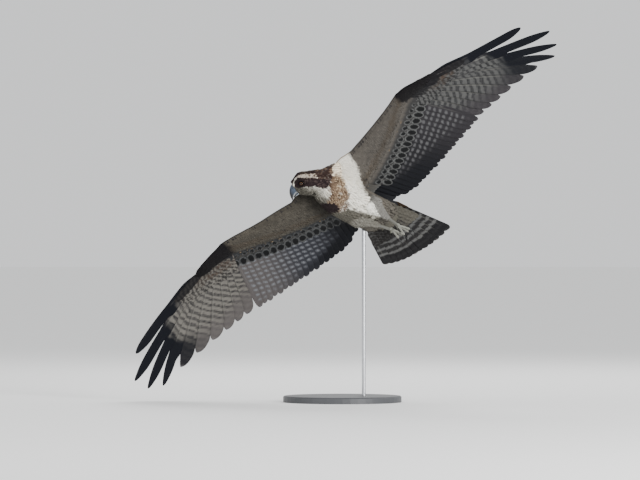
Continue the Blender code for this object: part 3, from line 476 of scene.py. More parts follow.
def sideView(points):
    # the head's own side view, tipped down as the head is: behind the eye, then below it
    inHead = headPlaces(points)
    forward, up = inHead[..., 0] - 12.0, inHead[..., 2] + 2.0
    return np.stack([-forward * math.cos(viewTilt) - up * math.sin(viewTilt),
                     forward * math.sin(viewTilt) - up * math.cos(viewTilt)], -1)


def shapeShare(name, places, soft):
    # 1 inside the outline and 0 outside: the distance to its nearest side, signed by a count of crossings
    corners = np.array(faceShapes[name], float)
    inside = np.zeros(places.shape[:-1], bool)
    nearest = np.full(places.shape[:-1], 1e9)
    for first, second in zip(corners, np.roll(corners, -1, axis=0)):
        side = second - first
        share = np.clip((places - first) @ side / (side @ side), 0, 1)
        nearest = np.minimum(nearest, np.linalg.norm(places - first - share[..., None] * side, axis=-1))
        spans = (first[1] > places[..., 1]) != (second[1] > places[..., 1])
        slope = side[0] / (side[1] if side[1] else 1e-9)
        inside ^= spans & (places[..., 0] < first[0] + (places[..., 1] - first[1]) * slope)
    return smoothStep(-soft, soft, np.where(inside, nearest, -nearest))


def pastPlane(points, name):
    # 0 to 1 across a plane: how far a place lies past where the next tone begins
    *normal, start, soft = plumage[name]
    return smoothStep(start - soft, start + soft, points @ np.array(normal))


def bodyTint(points, places, angles):
    # the colour of the plumage at places on the body, and how strongly its feathers are edged
    plain = sideAngle(angles)
    uneven = ripple(points, 16.0, 3)
    fine = ripple(points, 5.0, 4)
    colour = np.broadcast_to(plumage["white"], points.shape).copy()
    colour = mixed(colour, plumage["cream"], 0.25 + 0.15 * uneven)
    # grey flanks and vent beside and behind the white breast; the right side is the greyer one, as painted shade
    # darkens the lower right of the belly
    turnedAngle = np.mod(np.degrees(angles) + 180, 360) - 180
    torsoPart = 1 - smoothStep(30, 50, places)
    flankEdge = tableAt(plumage["flankEdge"], places)
    leftFlank = np.maximum(pastPlane(points, "flankPlane"), smoothStep(15, 30, turnedAngle + 3 * fine))
    rightFlank = smoothStep(-180 - flankEdge + 6, -180 - flankEdge - 6, turnedAngle)
    colour = mixed(colour, plumage["flank"], np.clip(leftFlank + rightFlank, 0, 1) * torsoPart)
    # painted shade over the lower right side of the belly, past a plane
    colour = mixed(colour, plumage["shade"], pastPlane(points + 3 * fine[..., None], "paintedShadePlane") * torsoPart)
    colour = mixed(colour, plumage["vent"], smoothStep(-128, -150, places + 6 * uneven) * 0.95)
    # upperparts: brown above the flanks, from the nape to the tail
    upper = smoothStep(24, 36, plain + 5 * uneven) * (1 - smoothStep(84, 104, places))
    nape = smoothStep(48, 60, plain + 6 * uneven) * smoothStep(60, 80, places) * (1 - smoothStep(118, 132, places))
    colour = mixed(colour, plumage["brown"], np.clip(upper, 0, 1))
    colour = mixed(colour, plumage["darkBrown"], np.clip(nape, 0, 1) * 0.85)
    # markings of head, neck and upper breast, drawn in the head's side view
    inFront = smoothStep(-30, -10, places)
    view = sideView(points) + np.stack([1.6 * fine, 1.4 * ripple(points, 4.4, 9)], -1)
    shape = {name: shapeShare(name, view, 2.6 if name in ("band", "bandTop", "cheek") else 1.3) * inFront
             for name in faceShapes}
    flecks = smoothStep(0.0, 0.6, ripple(points, 4.0, 12) + 0.5 * fine)
    browPart = within(-16, 56, 5, view[..., 0]) * within(-32, -13, 3, view[..., 1])
    colour = mixed(colour, plumage["brow"], browPart)
    colour = mixed(colour, plumage["brown"], browPart * np.clip(0.1 + flecks * smoothStep(-20, 40, view[..., 0]), 0, 1))
    # painted shade on the throat and lower cheek, deepening downward towards the wing's root
    lower = view[..., 1] - 26.0 - 0.62 * (view[..., 0] - 24.0)
    shade = np.interp(lower + 3 * fine, [-34, -16, -3, 7], [0.30, 0.66, 0.86, 1.0])
    colour = mixed(colour, plumage["paintedThroatShade"], shape["cheek"] * np.clip(shade + 0.10 * fine, 0, 1))
    colour = mixed(colour, plumage["creamBand"], shape["bandTop"] * 0.9)
    colour = mixed(colour, plumage["buff"], shape["bandTop"] * flecks * 0.35)
    colour = mixed(colour, plumage["buff"], np.clip(shape["band"] * (1.1 + 0.25 * uneven + 0.15 * fine), 0, 1))
    colour = mixed(colour, plumage["brown"], shape["band"] * flecks * 0.9)
    colour = mixed(colour, plumage["darkBrown"], np.clip(shape["crown"] * 1.1, 0, 1))
    colour = mixed(colour, plumage["stripe"], shape["rim"] * 0.95)
    colour = mixed(colour, plumage["napeBrown"], np.clip(shape["nape"] * (1.05 + 0.15 * fine), 0, 1))
    colour = mixed(colour, plumage["buff"], shape["nape"] * (1 - shape["stripe"]) * smoothStep(
        0.2, 0.9, ripple(points, 3.4, 14) + 0.4 * uneven) * 0.8)
    stripe = mixed(np.broadcast_to(plumage["stripe"], colour.shape), plumage["stripeFleck"], smoothStep(
        0.0, 1.0, ripple(points, 3.0, 16) + 0.4 * fine) * smoothStep(-6, 20, view[..., 0]))
    colour = mixed(colour, stripe, np.clip(shape["stripe"] * 1.15, 0, 1))
    # painted shadow where the breast meets the right wing's root
    colour = mixed(colour, plumage["stripe"], np.clip(shape["spot"] * 1.1, 0, 1))
    # the upperparts, the band and the nape have pale edges
    edging = np.clip(upper * 0.8 + nape * 0.3 + shape["band"] * 0.7 + shape["bandTop"] * 0.6, 0, 1)
    edging = edging * (1 - shape["spot"]) * (1 - 0.7 * shape["nape"]) * (1 - shape["stripe"])
    return colour, edging


def vaneTemplate(stations, widths, sides=4):
    # a small feather: a thin oval section carried from root to tip; along and across from 0 to 1
    along = np.array(stations)
    width = np.array(widths)
    turn = np.arange(sides) * 2 * math.pi / sides
    across = width[:, None] * np.cos(turn)[None, :]
    height = np.broadcast_to(np.sin(turn)[None, :], across.shape)
    faces = [gridFaces(len(along), sides, True)]
    last = (len(along) - 1) * sides
    faces.append(np.array([[3, 2, 1, 0], [last, last + 1, last + 2, last + 3]]))
    return np.repeat(along, sides), across.ravel(), height.ravel(), np.concatenate(faces)


smallVane = vaneTemplate((0.0, 0.22, 0.5, 0.78, 0.93, 1.0), (0.30, 0.72, 1.0, 0.88, 0.55, 0.12))


def layFeathers(roots, normals, backs, lengths, halfWidths, lifts, curl, colours, edging, edgeColour, bake,
                thickness=0.22, shaft=0.0, rimSide=1.0):
    # every feather is the template: along its length it rises at the lift angle and bends back down
    # by the curl; across it falls away from the shaft; its edge and tip take the edge colour
    along, across, height, faces = smallVane
    sides = unit(np.cross(normals, backs))
    reach = along[None, :] * lengths[:, None]
    sideways = across[None, :] * halfWidths[:, None]
    rise = (reach * np.sin(lifts)[:, None] - curl * reach ** 2 / np.maximum(lengths, 1)[:, None]
            - sideways ** 2 / np.maximum(halfWidths, 0.5)[:, None] * 0.22
            + height[None, :] * thickness * (1.1 - 0.8 * along[None, :]))
    points = (roots[:, None] + backs[:, None] * reach[..., None] + sides[:, None] * sideways[..., None]
              + normals[:, None] * rise[..., None])
    rim = np.clip(np.maximum(smoothStep(0.86, 0.97, along), rimSide * smoothStep(0.62, 0.95, np.abs(across))), 0, 1)
    tint = mixed(np.broadcast_to(colours[:, None], points.shape), np.broadcast_to(edgeColour, points.shape),
                 rim[None, :] * edging[:, None])
    if shaft:
        middle = (1 - smoothStep(0.0, 0.3, np.abs(across))) * (1 - smoothStep(0.6, 0.9, along))
        tint = tint * (1 - shaft * middle * edging[:, None])[..., None]
    # darker towards the root: painted shade where each feather lies under the ones ahead of it
    tint = tint * (0.90 + 0.10 * along[None, :, None])
    local = np.stack([along, across * 0.5 + 0.5], -1) * 0.003
    patch = bake[:, None] + local[None] - 0.0015
    count = len(roots)
    return (points.reshape(-1, 3), shiftedFaces(faces, count, len(along)), tint.reshape(-1, 3),
            np.clip(patch.reshape(-1, 2), 0, 1))


def joined(parts):
    # several sets of points, faces, tints and bake places as one
    points, faces, tints, bakes = [], [], [], []
    start = 0
    for p, f, t, b in parts:
        groups = f if isinstance(f, list) else [f]
        faces += [group + start for group in groups]
        points.append(p)
        tints.append(t)
        bakes.append(b)
        start += len(p)
    return np.concatenate(points), faces, np.concatenate(tints), np.concatenate(bakes)


# The legs: thighs in down, bare shanks and feet that trail under the tail
legs = {
    "left": {"hip": (-70.0, 38.0, -34.0), "ankle": (-158.0, 38.0, -54.0), "foot": (-203.0, 36.0, -54.0)},
    "right": {"hip": (-70.0, -30.0, -34.0), "ankle": (-158.0, 0.0, -51.0), "foot": (-202.0, 11.0, -51.0)},
    "thighRadii": [(0, 24), (0.25, 28), (0.5, 21), (0.75, 13), (1, 8)],
}


def limbFrames(start, end, shares):
    # points on a straight limb, with its direction and two directions across it
    start, end = np.array(start, float), np.array(end, float)
    direction = unit(end - start)
    side = unit(np.cross(direction, [0.0, 0.0, 1.0]))
    above = np.cross(side, direction)
    return start + (end - start) * shares[..., None], direction, side, above


def thighPoints(side, shares, angles, inset=0.0):
    # round sections from the hip to the ankle, thick at the hip and slim at the ankle
    leg = legs[side]
    middle, direction, across, above = limbFrames(leg["hip"], leg["ankle"], shares)
    radius = tableAt(legs["thighRadii"], shares) - inset * (0.35 + 0.65 * (1 - shares))
    return (middle + radius[..., None] * (np.cos(angles)[..., None] * across + np.sin(angles)[..., None] * above))


def makeSkin():
    count = body["around"]
    places = np.arange(-212.0 + body["depth"], faceEnd, body["spacing"])
    places = np.append(places, faceEnd - 0.4)
    grid, angles = np.meshgrid(places, np.arange(count) * 2 * math.pi / count, indexing="ij")
    inset = np.interp(grid, [neckStart, headStart, headStart + 12], [body["depth"], 2.4, body["headDepth"]])
    points = skinPoints(grid, angles, inset)
    tint, edging = bodyTint(points, grid, angles)
    bake = skinUnwrap(grid, angles)
    ends = np.array([[0.01, 0.5], [0.99, 0.5]])
    parts = [(tubePoints(points), tubeFaces(len(places), count),
              np.concatenate([tint.reshape(-1, 3), tint[0, :1], tint[-1, :1]]),
              np.concatenate([bake.reshape(-1, 2), ends]))]
    for side in ("left", "right"):
        shares, around = np.meshgrid(np.linspace(0, 1, 22), np.arange(36) * 2 * math.pi / 36, indexing="ij")
        rings = thighPoints(side, shares, around, 3.0)
        colour = np.broadcast_to(plumage["thigh"], (len(rings) * 36 + 2, 3))
        local = np.stack([shares * 0.1, around / 6.3 * 0.1], -1) * 0.18
        corner = np.array([0.0, 0.0]) if side == "left" else np.array([0.98, 0.0])
        place = np.concatenate([local.reshape(-1, 2), local[0, :1], local[-1, :1]]) + corner
        faces = [group[:, ::-1] for group in tubeFaces(22, 36)]
        parts.append((tubePoints(rings), faces, colour, place))
    points, faces, tints, bakes = joined(parts)
    return makePiece("body_skin", points, faces, tints, bakes, materials["skin"], "white_feather",
                     ("torso", "neck", "head", "thigh_left", "thigh_right"))


skin = makeSkin()


def bodyRows():
    # staggered rows from the face to the tail, each about a third of a feather behind the last
    places, angles = [], []
    place, row = faceEnd - 1.2, 0
    while place > -212:
        length = tableAt(plumage["lengths"], place)
        shift, halfWidth, up, down = smoothRows(bodyStations, np.array(place))
        girth = math.pi * (halfWidth + (up - down) / 2)
        count = int(girth / (length * plumage["slimness"] * 1.25)) + 1
        turn = (np.arange(count) + 0.5 * (row % 2)) * 2 * math.pi / count
        places.append(np.full(count, place))
        angles.append(turn)
        place -= tableAt(plumage["rows"], place)
        row += 1
    return np.concatenate(places), np.concatenate(angles)


def makeBodyPlumage():
    draw = np.random.default_rng(11)
    places, angles = bodyRows()
    places = places + draw.uniform(-0.8, 0.8, len(places)) * tableAt(plumage["rows"], places) * 0.4
    angles = angles + draw.uniform(-0.5, 0.5, len(places)) * 0.05
    inset = np.interp(places, [neckStart, headStart, headStart + 12], [3.0, 2.0, 1.1])
    roots, normals, backs = skinFrames(places, angles, inset)
    # nothing over the eyes, the gape or the front of the face
    inHead = headPlaces(roots)
    eyeGap = np.minimum(*(np.linalg.norm(inHead - np.array([12.5, sign * 22.0, -2.0]), axis=1) for sign in (1, -1)))
    keep = (eyeGap > 8.6) & (places < faceEnd - 0.6)
    roots, normals, backs, places, angles = (v[keep] for v in (roots, normals, backs, places, angles))
    lengths = tableAt(plumage["lengths"], places) * draw.uniform(0.86, 1.14, len(places))
    near = np.clip(1 - (eyeGap[keep] - 8.6) / 8, 0, 1)
    lengths = lengths * (1 - 0.45 * near)
    lifts = np.radians(tableAt(plumage["lift"], places) + draw.uniform(-2.5, 2.5, len(places)))
    turn = np.radians(draw.uniform(-7, 7, len(places)))
    sides = np.cross(normals, backs)
    backs = unit(backs * np.cos(turn)[:, None] + sides * np.sin(turn)[:, None])
    seen = places - 0.5 * lengths            # the part of a feather that the next ones leave bare
    colours, edging = bodyTint(roots + backs * (0.5 * lengths)[:, None], seen, angles)
    colours = colours * draw.uniform(0.90, 1.08, len(places))[:, None]
    fringe = mixed(plumage["white"], plumage["backFringe"], smoothStep(20, 40, sideAngle(angles)))
    fringe = mixed(fringe, plumage["bandFringe"], smoothStep(12, 26, places) * (1 - smoothStep(90, 110, places)))[:, None]
    bakes = skinUnwrap(places, angles)
    for name, part in (("head_feathers", places > 96), ("body_feathers", places <= 96)):
        parts = layFeathers(*(v[part] for v in (roots, normals, backs, lengths, lengths * plumage["slimness"], lifts)),
                            0.10, colours[part], edging[part], fringe[part], bakes[part], shaft=0.25, rimSide=0.3)
        makePiece(name, *parts, materials["featherDown"], "white_feather")


makeBodyPlumage()


def makeThighPlumage():
    # short loose feathers on the thighs, pointing down the leg
    draw = np.random.default_rng(12)
    parts = []
    for side in ("left", "right"):
        rows = np.arange(0.0, 0.985, 0.034)
        shares, angles = [], []
        for k, share in enumerate(rows):
            count = int(2 * math.pi * tableAt(legs["thighRadii"], share) / 4.6) + 4
            shares.append(np.full(count, share))
            angles.append((np.arange(count) + 0.5 * (k % 2)) * 2 * math.pi / count)
        shares, angles = np.concatenate(shares), np.concatenate(angles)
        angles = angles + draw.uniform(-0.1, 0.1, len(angles))
        roots = thighPoints(side, shares, angles, 2.0)
        ahead = thighPoints(side, np.minimum(shares + 0.02, 1), angles) - thighPoints(side, shares - 0.02, angles)
        backs = unit(ahead)
        middle = limbFrames(legs[side]["hip"], legs[side]["ankle"], shares)[0]
        outward = unit(roots - middle)
        normals = unit(outward - backs * np.sum(outward * backs, axis=1)[:, None])
        lengths = np.interp(shares, [0, 0.6, 1], [15, 13, 8]) * draw.uniform(0.85, 1.15, len(shares))
        lifts = np.radians(draw.uniform(8, 14, len(shares)))
        colours = mixed(np.broadcast_to(plumage["white"], roots.shape), plumage["thigh"],
                        pastPlane(roots + 3 * ripple(roots, 9.0, 15)[:, None], "flankPlane"))
        # painted shade on the thighs, past the same plane as the belly's
        colours = mixed(colours, plumage["shade"], pastPlane(roots, "paintedShadePlane"))
        colours = colours * draw.uniform(0.88, 1.06, len(shares))[:, None]
        bake = np.stack([0.3 + shares * 0.2, np.mod(angles / 6.3, 1) * 0.2 + (0.1 if side == "left" else 0.6)], -1)
        parts.append(layFeathers(roots, normals, backs, lengths, lengths * 0.3, lifts, 0.1, colours,
                                 np.full(len(shares), 0.2), plumage["white"], bake))
    points, faces, tints, bakes = joined(parts)
    return makePiece("thigh_feathers", points, faces, tints, bakes, materials["featherDown"], "white_feather")


makeThighPlumage()


# The wings, in the left wing's own places; the right one is worked out the same way and mirrored
wing = {
    "shoulderEdge": (28.0, 66.0, 16.0), "armLength": 297.9, "armSweep": 22.37, "armDrop": 3.18, "handDroop": 12.0,
    "primaryLengths": [286, 296, 311, 334, 368, 410, 468, 487, 484, 414],
    "primaryAngles": [63.9, 57.3, 50.1, 42.3, 34.4, 27.4, 21.5, 16.4, 11.8, 7.7],
    "primaryDroops": [-1.5, -1.5, -1.3, -0.9, 0.1, 1.6, 3.5, 2.9, 0.3, -3.3],
    # arm sweep, arm rise, hand sweep, hand droop, longer arm, bow of the hand
    "poses": {"left": (-0.33, 0.35, 0.49, 1.61, -2.4, -2.0), "right": (0.92, -1.25, -0.98, -0.56, 1.9, 11.0)},
    "secondaries": 22, "innerTip": (-212.0, 15.0, -2.0), "outerTip": (-264.0, 91.0, -25.0),
    "bodyTips": {"left": (-198.0, 66.0, -3.0), "right": (-184.0, 52.0, 0.0)},
    "trailingBulge": 27.0, "innerRoot": (-58.0, 44.0, 13.0), "elbowBow": 12.0, "edgeBow": 3.0,
    "shoulderBulge": (32.0, -4.0, 13.0), "shoulderShare": 0.24, "wristDepth": 34.0, "handTipDepth": 8.0,
    "handRoots": (8.0, 95.0), "camber": 0.05,
    "thickness": [(-2, 36.0), (1, 34.0), (8, 27.0), (14, 22.0), (20, 18.0), (24, 15.0), (31, 9.0)],
    "coreBack": 19.0, "vaneStep": 1.15,
    "coat": 1.5,                             # the small coverts stand this far out of the flesh
    "primaryWidths": (10.0, 24.0), "fingerWidths": {"left": (8.0, 14.5), "right": (9.0, 17.0)}, "lastFinger": {"left": 1.35, "right": 1.1}, "primaryBreadths": (16.0, 40.0, 0.9),
    "secondaryWidths": (9.0, 19.0),
    "innerNotches": {"left": {10: 0.42, 9: 0.56, 8: 0.62, 7: 0.73}, "right": {10: 0.47, 9: 0.55, 8: 0.60, 7: 0.71}},
    "outerNotches": {"left": {9: 0.46, 8: 0.56, 7: 0.65, 6: 0.85}, "right": {9: 0.51, 8: 0.55, 7: 0.62, 6: 0.84}},
    # how far behind the roots the dark patch at the wrist reaches, by rank
    "patchEnds": {"left": [(20.4, -16), (21.5, 8), (22.7, 27), (24, 42), (29.6, 42), (31, 58)],
                  "right": [(19.4, -16), (20.7, 8), (22, 20), (23.5, 14), (25.6, 0), (28, 4), (31, 14)]},
    # the white of the breast runs on to the left wing: distance from the leading edge, last rank
    "edgeCoat": {
        "left": [(2, 0), (3, 3), (4, 10), (5, 15), (6, 15), (7, 12.5), (8, 9.5), (10, 5), (12, 1), (14, -2), (16, -4.5),
                 (18, -5.5), (21, -5.5), (22, -4), (23, 0.5), (24, 4), (26, 8), (27, 11), (28, 12.5), (29, 11),
                 (30, 8), (31, 4)],
        "right": [(1, 4), (3, 12), (5, 16), (6, 17.5), (8, 15), (10, 11.5), (12, 7.5), (14, 6), (18, 6.5), (20, 5),
                  (21, 3), (22, 2), (24, 3.5), (26, 7), (27, 10), (28, 12), (29, 10.5), (30, 8), (31, 3.5)]},
    "whiteBase": [(0, 3.9), (32, 3.5), (60, 2.6), (88, 1.2), (113, 0.6), (150, -0.4)],
}


def wingPlan(side):
    # roots, tips, leading edge and back-pointing normals of the flight feathers, innermost first
    sweep, rise, handSweep, handDroop, longer, handBow = wing["poses"][side]
    sweepTurn, handTurn = math.radians(sweep), math.radians(handSweep)
    azimuth, lift = math.radians(wing["armSweep"] + sweep), math.radians(rise - wing["armDrop"])
    edge = np.array(wing["shoulderEdge"])
    wrist = edge + (wing["armLength"] + longer) * np.array(
        [math.sin(azimuth) * math.cos(lift), math.cos(azimuth) * math.cos(lift), math.sin(lift)])

    def handPoint(out, back, droop):
        angle = math.radians(wing["handDroop"] + handDroop + droop)
        return wrist + np.array([-back, out * math.cos(angle), -out * math.sin(angle)])

    x, y, z = wing["innerTip"]
    innerTip = edge + np.array([x * math.cos(sweepTurn) + y * math.sin(sweepTurn),
                                y * math.cos(sweepTurn) - x * math.sin(sweepTurn), z + y * math.radians(rise)])
    x, y, z = wing["outerTip"]
    outerTip = wrist + np.array([x * math.cos(handTurn) + y * math.sin(handTurn),
                                 y * math.cos(handTurn) - x * math.sin(handTurn), z - y * math.radians(handDroop)])
    roots, tips, edges = [], [], []
    outerRoot = wrist + np.array([-wing["wristDepth"], -6.0, 0.0])
    ahead = np.array([1.0, 0.0, 0.0])
    for share in np.linspace(-1 / (wing["secondaries"] - 2), 1, wing["secondaries"]):
        root = np.array(wing["innerRoot"]) * (1 - share) + outerRoot * share
        roots.append(root - ahead * wing["elbowBow"] * math.sin(math.pi * share))
        bulge = wing["trailingBulge"] * math.sin(math.pi * max(share, 0.0) ** 0.45) * min(1.0, share / 0.13)
        tips.append(innerTip * (1 - share) + outerTip * share - ahead * bulge)
        fold = 0.5 + 0.5 * math.cos(math.pi * min(1.0, max(0.0, share) / wing["shoulderShare"]))
        edges.append(edge * (1 - share) + wrist * share + ahead * wing["edgeBow"] * math.sin(math.pi * share)
                     + fold * np.array(wing["shoulderBulge"]))
    tips[0] = np.array(wing["bodyTips"][side])
    leading = math.radians(wing["primaryAngles"][-1] + handSweep)
    for k, (length, angle, droop) in enumerate(zip(wing["primaryLengths"], wing["primaryAngles"],
                                                   wing["primaryDroops"])):
        share = k / 9
        turn = math.radians(angle + handSweep)
        out = wing["handRoots"][0] * (1 - share) + wing["handRoots"][1] * share
        depth = (wing["wristDepth"] - 4.0) * (1 - share) + wing["handTipDepth"] * share
        edgeBack = out * math.tan(leading)
        roots.append(handPoint(out, edgeBack + depth, droop * share))
        tips.append(handPoint(length * math.cos(turn), length * math.sin(turn), droop))
        bow = handBow * math.sin(math.pi * min(1.0, out / length))
        edges.append(handPoint(out + 4.0 * share, edgeBack - bow, droop * share))
    roots, tips, edges = np.array(roots), np.array(tips), np.array(edges)
    normals = unit(np.cross(np.gradient((roots + tips) / 2, axis=0), tips - roots))
    # the coat's own leading edge, a little ahead of the plain one, square to it in the wing's plane
    square = unit(np.cross(normals, np.gradient(edges, axis=0)))
    square = square * np.sign(np.sum(square * (edges - roots), axis=-1, keepdims=True))
    edges = edges + square * tableAt(wing["edgeCoat"][side], np.arange(len(edges)))[:, None]
    bows = np.zeros(len(roots))
    bows[-4:] = handBow * np.array([0.2, 0.5, 0.8, 1.0])
    return {"roots": roots, "tips": tips, "edges": edges, "normals": normals, "bows": bows,
            "side": side}


def atRank(table, ranks):
    # rows of a table at ranks between the whole ones, carried on straight past both ends
    low = np.clip(np.floor(ranks).astype(int), 0, len(table) - 2)
    part = ranks - low
    part = part[..., None] if table.ndim > 1 else part
    return table[low] + (table[low + 1] - table[low]) * part


def wingCurve(plan, ranks, shares):
    # a feather's shaft: straight from root to tip, arched a little towards the back and bowed forward
    root, tip, normal = (atRank(plan[key], ranks) for key in ("roots", "tips", "normals"))
    hump = 4 * shares * (1 - shares)
    length = np.linalg.norm(tip - root, axis=-1)
    forward = unit(np.cross(tip - root, normal)) * atRank(plan["bows"], ranks)[..., None]
    return (root + (tip - root) * shares[..., None] + normal * (wing["camber"] * length * hump)[..., None]
            + forward * hump[..., None])


def wingAxes(plan, ranks, shares):
    # unit directions along and outward across, the one out of the back, and the spacing of feathers
    tangent = unit(wingCurve(plan, ranks, shares + 0.01) - wingCurve(plan, ranks, shares - 0.01))
    step = wingCurve(plan, ranks + 0.5, shares) - wingCurve(plan, ranks - 0.5, shares)
    step = step - tangent * np.sum(tangent * step, axis=-1, keepdims=True)
    spacing = np.linalg.norm(step, axis=-1)
    outward = step / spacing[..., None]
    return tangent, outward, np.cross(outward, tangent), spacing


def featherLengths(plan, ranks):
    return np.linalg.norm(atRank(plan["tips"], ranks) - atRank(plan["roots"], ranks), axis=-1)


def vaneOutline(shares, tipStart, tipPower=2.0, rootEnd=0.25, rootLeast=0.55):
    # narrow at the bare foot, full along the vane, and rounded at the tip
    u = np.clip(shares / rootEnd, 0, 1)
    foot = rootLeast + (1 - rootLeast) * u * u * (3 - 2 * u)
    v = np.clip((shares - tipStart) / (1 - tipStart), 0, 1)
    return foot * np.maximum(1 - v ** tipPower, 0.0004) ** (1 / tipPower)


def stationShares(count, tipStart, tipCount):
    # even steps along the vane, then closer ones round the tip
    turn = np.linspace(0, math.pi / 2, tipCount + 1)[1:]
    return np.concatenate([np.linspace(0, tipStart, count - tipCount), tipStart + (1 - tipStart) * np.sin(turn)])


columns = np.array([-1.0, -0.84, -0.62, -0.36, -0.14, -0.045, 0.045, 0.24, 0.55, 0.82, 1.0])


def sheetFaces(rows, across):
    # a thin closed sheet: rings that run over the top and back underneath, and a cap at each end
    ring = 2 * across
    k = np.arange(across - 1)
    cap = np.stack([k, k + 1, ring - 2 - k, ring - 1 - k], -1)
    last = (rows - 1) * ring
    return np.concatenate([gridFaces(rows, ring, True), cap[:, ::-1], cap + last])


def layVanes(plan, ranks, starts, ends, shares, front, rear, lifts, tipStart, shaft=1.4, step=None, curl=0.0,
             tipPower=2.0, rootLeast=0.55, twist=0.0):
    # feathers over the wing: each runs from start to end millimetres behind the flight feathers' roots,
    # lifted off them by the lifts (front to tip), its front edge tilted over the next one out;
    # the sheet has an upper and a lower face, a ridge along the shaft and a slight hollow
    count, rows = len(ranks), len(shares)
    length = featherLengths(plan, ranks)
    along = starts[:, None] + (ends - starts)[:, None] * shares[None, :]
    place = along / length[:, None]
    rankGrid = np.broadcast_to(ranks[:, None], place.shape)
    tangent, outward, back, spacing = wingAxes(plan, rankGrid, place)
    tilt = np.arctan2(wing["vaneStep"] if step is None else step, spacing) + twist
    side = outward * np.cos(tilt)[..., None] + back * np.sin(tilt)[..., None]
    up = back * np.cos(tilt)[..., None] - outward * np.sin(tilt)[..., None]
    outline = vaneOutline(shares, tipStart, tipPower, rootLeast=rootLeast)[None, :]
    frontWidth, rearWidth = (np.broadcast_to(width, (count, rows)) * outline for width in (front, rear))
    across = np.where(columns[None, None] > 0, columns * frontWidth[..., None], columns * rearWidth[..., None])
    ridge = shaft * np.clip(1 - shares, 0.12, 1)[None, :, None]
    isRidge = (np.abs(columns) < 0.1)[None, None]
    across = np.where(isRidge, np.sign(columns) * np.minimum(ridge * 0.7, rearWidth[..., None] * 0.3), across)
    centre = wingCurve(plan, rankGrid, place)
    height = np.broadcast_to(lifts, place.shape) if np.ndim(lifts) < 2 else lifts
    hollow = -np.abs(across) ** 1.6 * 0.012 + curl * (shares ** 3)[None, :, None]
    middle = (centre[:, :, None] + side[:, :, None] * across[..., None]
              + up[:, :, None] * (height[..., None] + hollow)[..., None])
    half = np.where(isRidge, ridge * 0.42 + 0.2, 0.22) * np.ones_like(across)
    half = half * np.where(np.abs(columns) > 0.95, 0.25, 1.0)
    top = middle + up[:, :, None] * half[..., None]
    low = middle - up[:, :, None] * half[..., None]
    points = np.concatenate([top, low[:, :, ::-1]], axis=2)
    places = {"rank": np.broadcast_to(ranks[:, None, None], across.shape), "share": np.broadcast_to(
        shares[None, :, None], across.shape), "behind": np.broadcast_to(along[..., None], across.shape),
        "across": across, "reach": np.broadcast_to((ends - starts)[:, None, None], across.shape),
        "frontWidth": np.broadcast_to(frontWidth[..., None], across.shape),
        "rearWidth": np.broadcast_to(rearWidth[..., None], across.shape),
        "point": middle, "isShaft": np.broadcast_to(isRidge, across.shape)}
    return points, places


def vanePiece(points, places, topTint, lowTint, atlas):
    # the points of many vanes with their faces, tints and own cells on the bake map
    count, rows, ring = points.shape[:3]
    tint = np.concatenate([topTint, lowTint[:, :, ::-1]], axis=2)
    u = np.broadcast_to(places["share"][:, :, :1], (count, rows, ring))
    v = np.concatenate([columns * 0.24 + 0.25, columns[::-1] * 0.24 + 0.75])
    local = np.stack([u, np.broadcast_to(v, u.shape)], -1).reshape(count, -1, 2)
    bake = atlasCells(count, local, atlas[0], atlas[1]).reshape(-1, 2)
    behind = np.concatenate([places["behind"], places["behind"]], axis=2) * 0.001
    across = np.concatenate([places["across"], places["across"][:, :, ::-1]], axis=2) * 0.001
    barbs = np.stack([behind, across], -1).reshape(-1, 2)
    faces = shiftedFaces(sheetFaces(rows, ring // 2), count, rows * ring)
    return points.reshape(-1, 3), faces, tint.reshape(-1, 3), bake, barbs


def mirrored(points, faces, side):
    # the right wing: the sideways places change sign, and the faces turn round to stay outward
    if side == "left":
        return points, faces
    points = points * np.array([1.0, -1.0, 1.0])
    return points, ([group[:, ::-1] for group in faces] if isinstance(faces, list) else faces[:, ::-1])


tones = {
    "finger": paint(8, 16, 32), "secondaryDark": paint(24, 26, 34), "liningBrown": paint(86, 78, 68),
    "spot": paint(10, 12, 18), "carpal": paint(28, 26, 31), "axillary": paint(98, 98, 96), "rufous": paint(84, 72, 63), "shaft": paint(128, 127, 122),
    "white": paint(232, 229, 220), "upper": paint(84, 70, 57), "upperDark": paint(56, 48, 42),
    "upperFringe": paint(168, 152, 128), "edgeLine": paint(44, 42, 48),
}
sideTones = {                # the two wings catch the light differently
    "left": {"pale": paint(99, 99, 98), "bar": paint(42, 42, 46), "grey": paint(72, 69, 72),
             "secondary": paint(47, 46, 50), "secondarySpot": paint(106, 106, 107), "lining": paint(100, 96, 91),
             "rim": paint(106, 107, 106), "ground": paint(66, 65, 65), "tip": paint(82, 79, 82)},
    "right": {"pale": paint(126, 123, 118), "bar": paint(48, 48, 52), "grey": paint(104, 100, 99),
              "secondary": paint(66, 67, 73), "secondarySpot": paint(128, 130, 134), "lining": paint(94, 90, 83),
              "rim": paint(94, 95, 95), "ground": paint(58, 59, 61), "tip": paint(110, 108, 110)},
}


def bars(behind, period, share, wobble, phase=0.0, soft=0.16):
    # 1 on the dark bars, 0 between: a cosine of the way along, sharpened
    wave = np.cos(2 * math.pi * ((behind + wobble) / period + phase))
    edge = np.cos(math.pi * share)
    return smoothStep(edge - soft, edge + soft, wave)


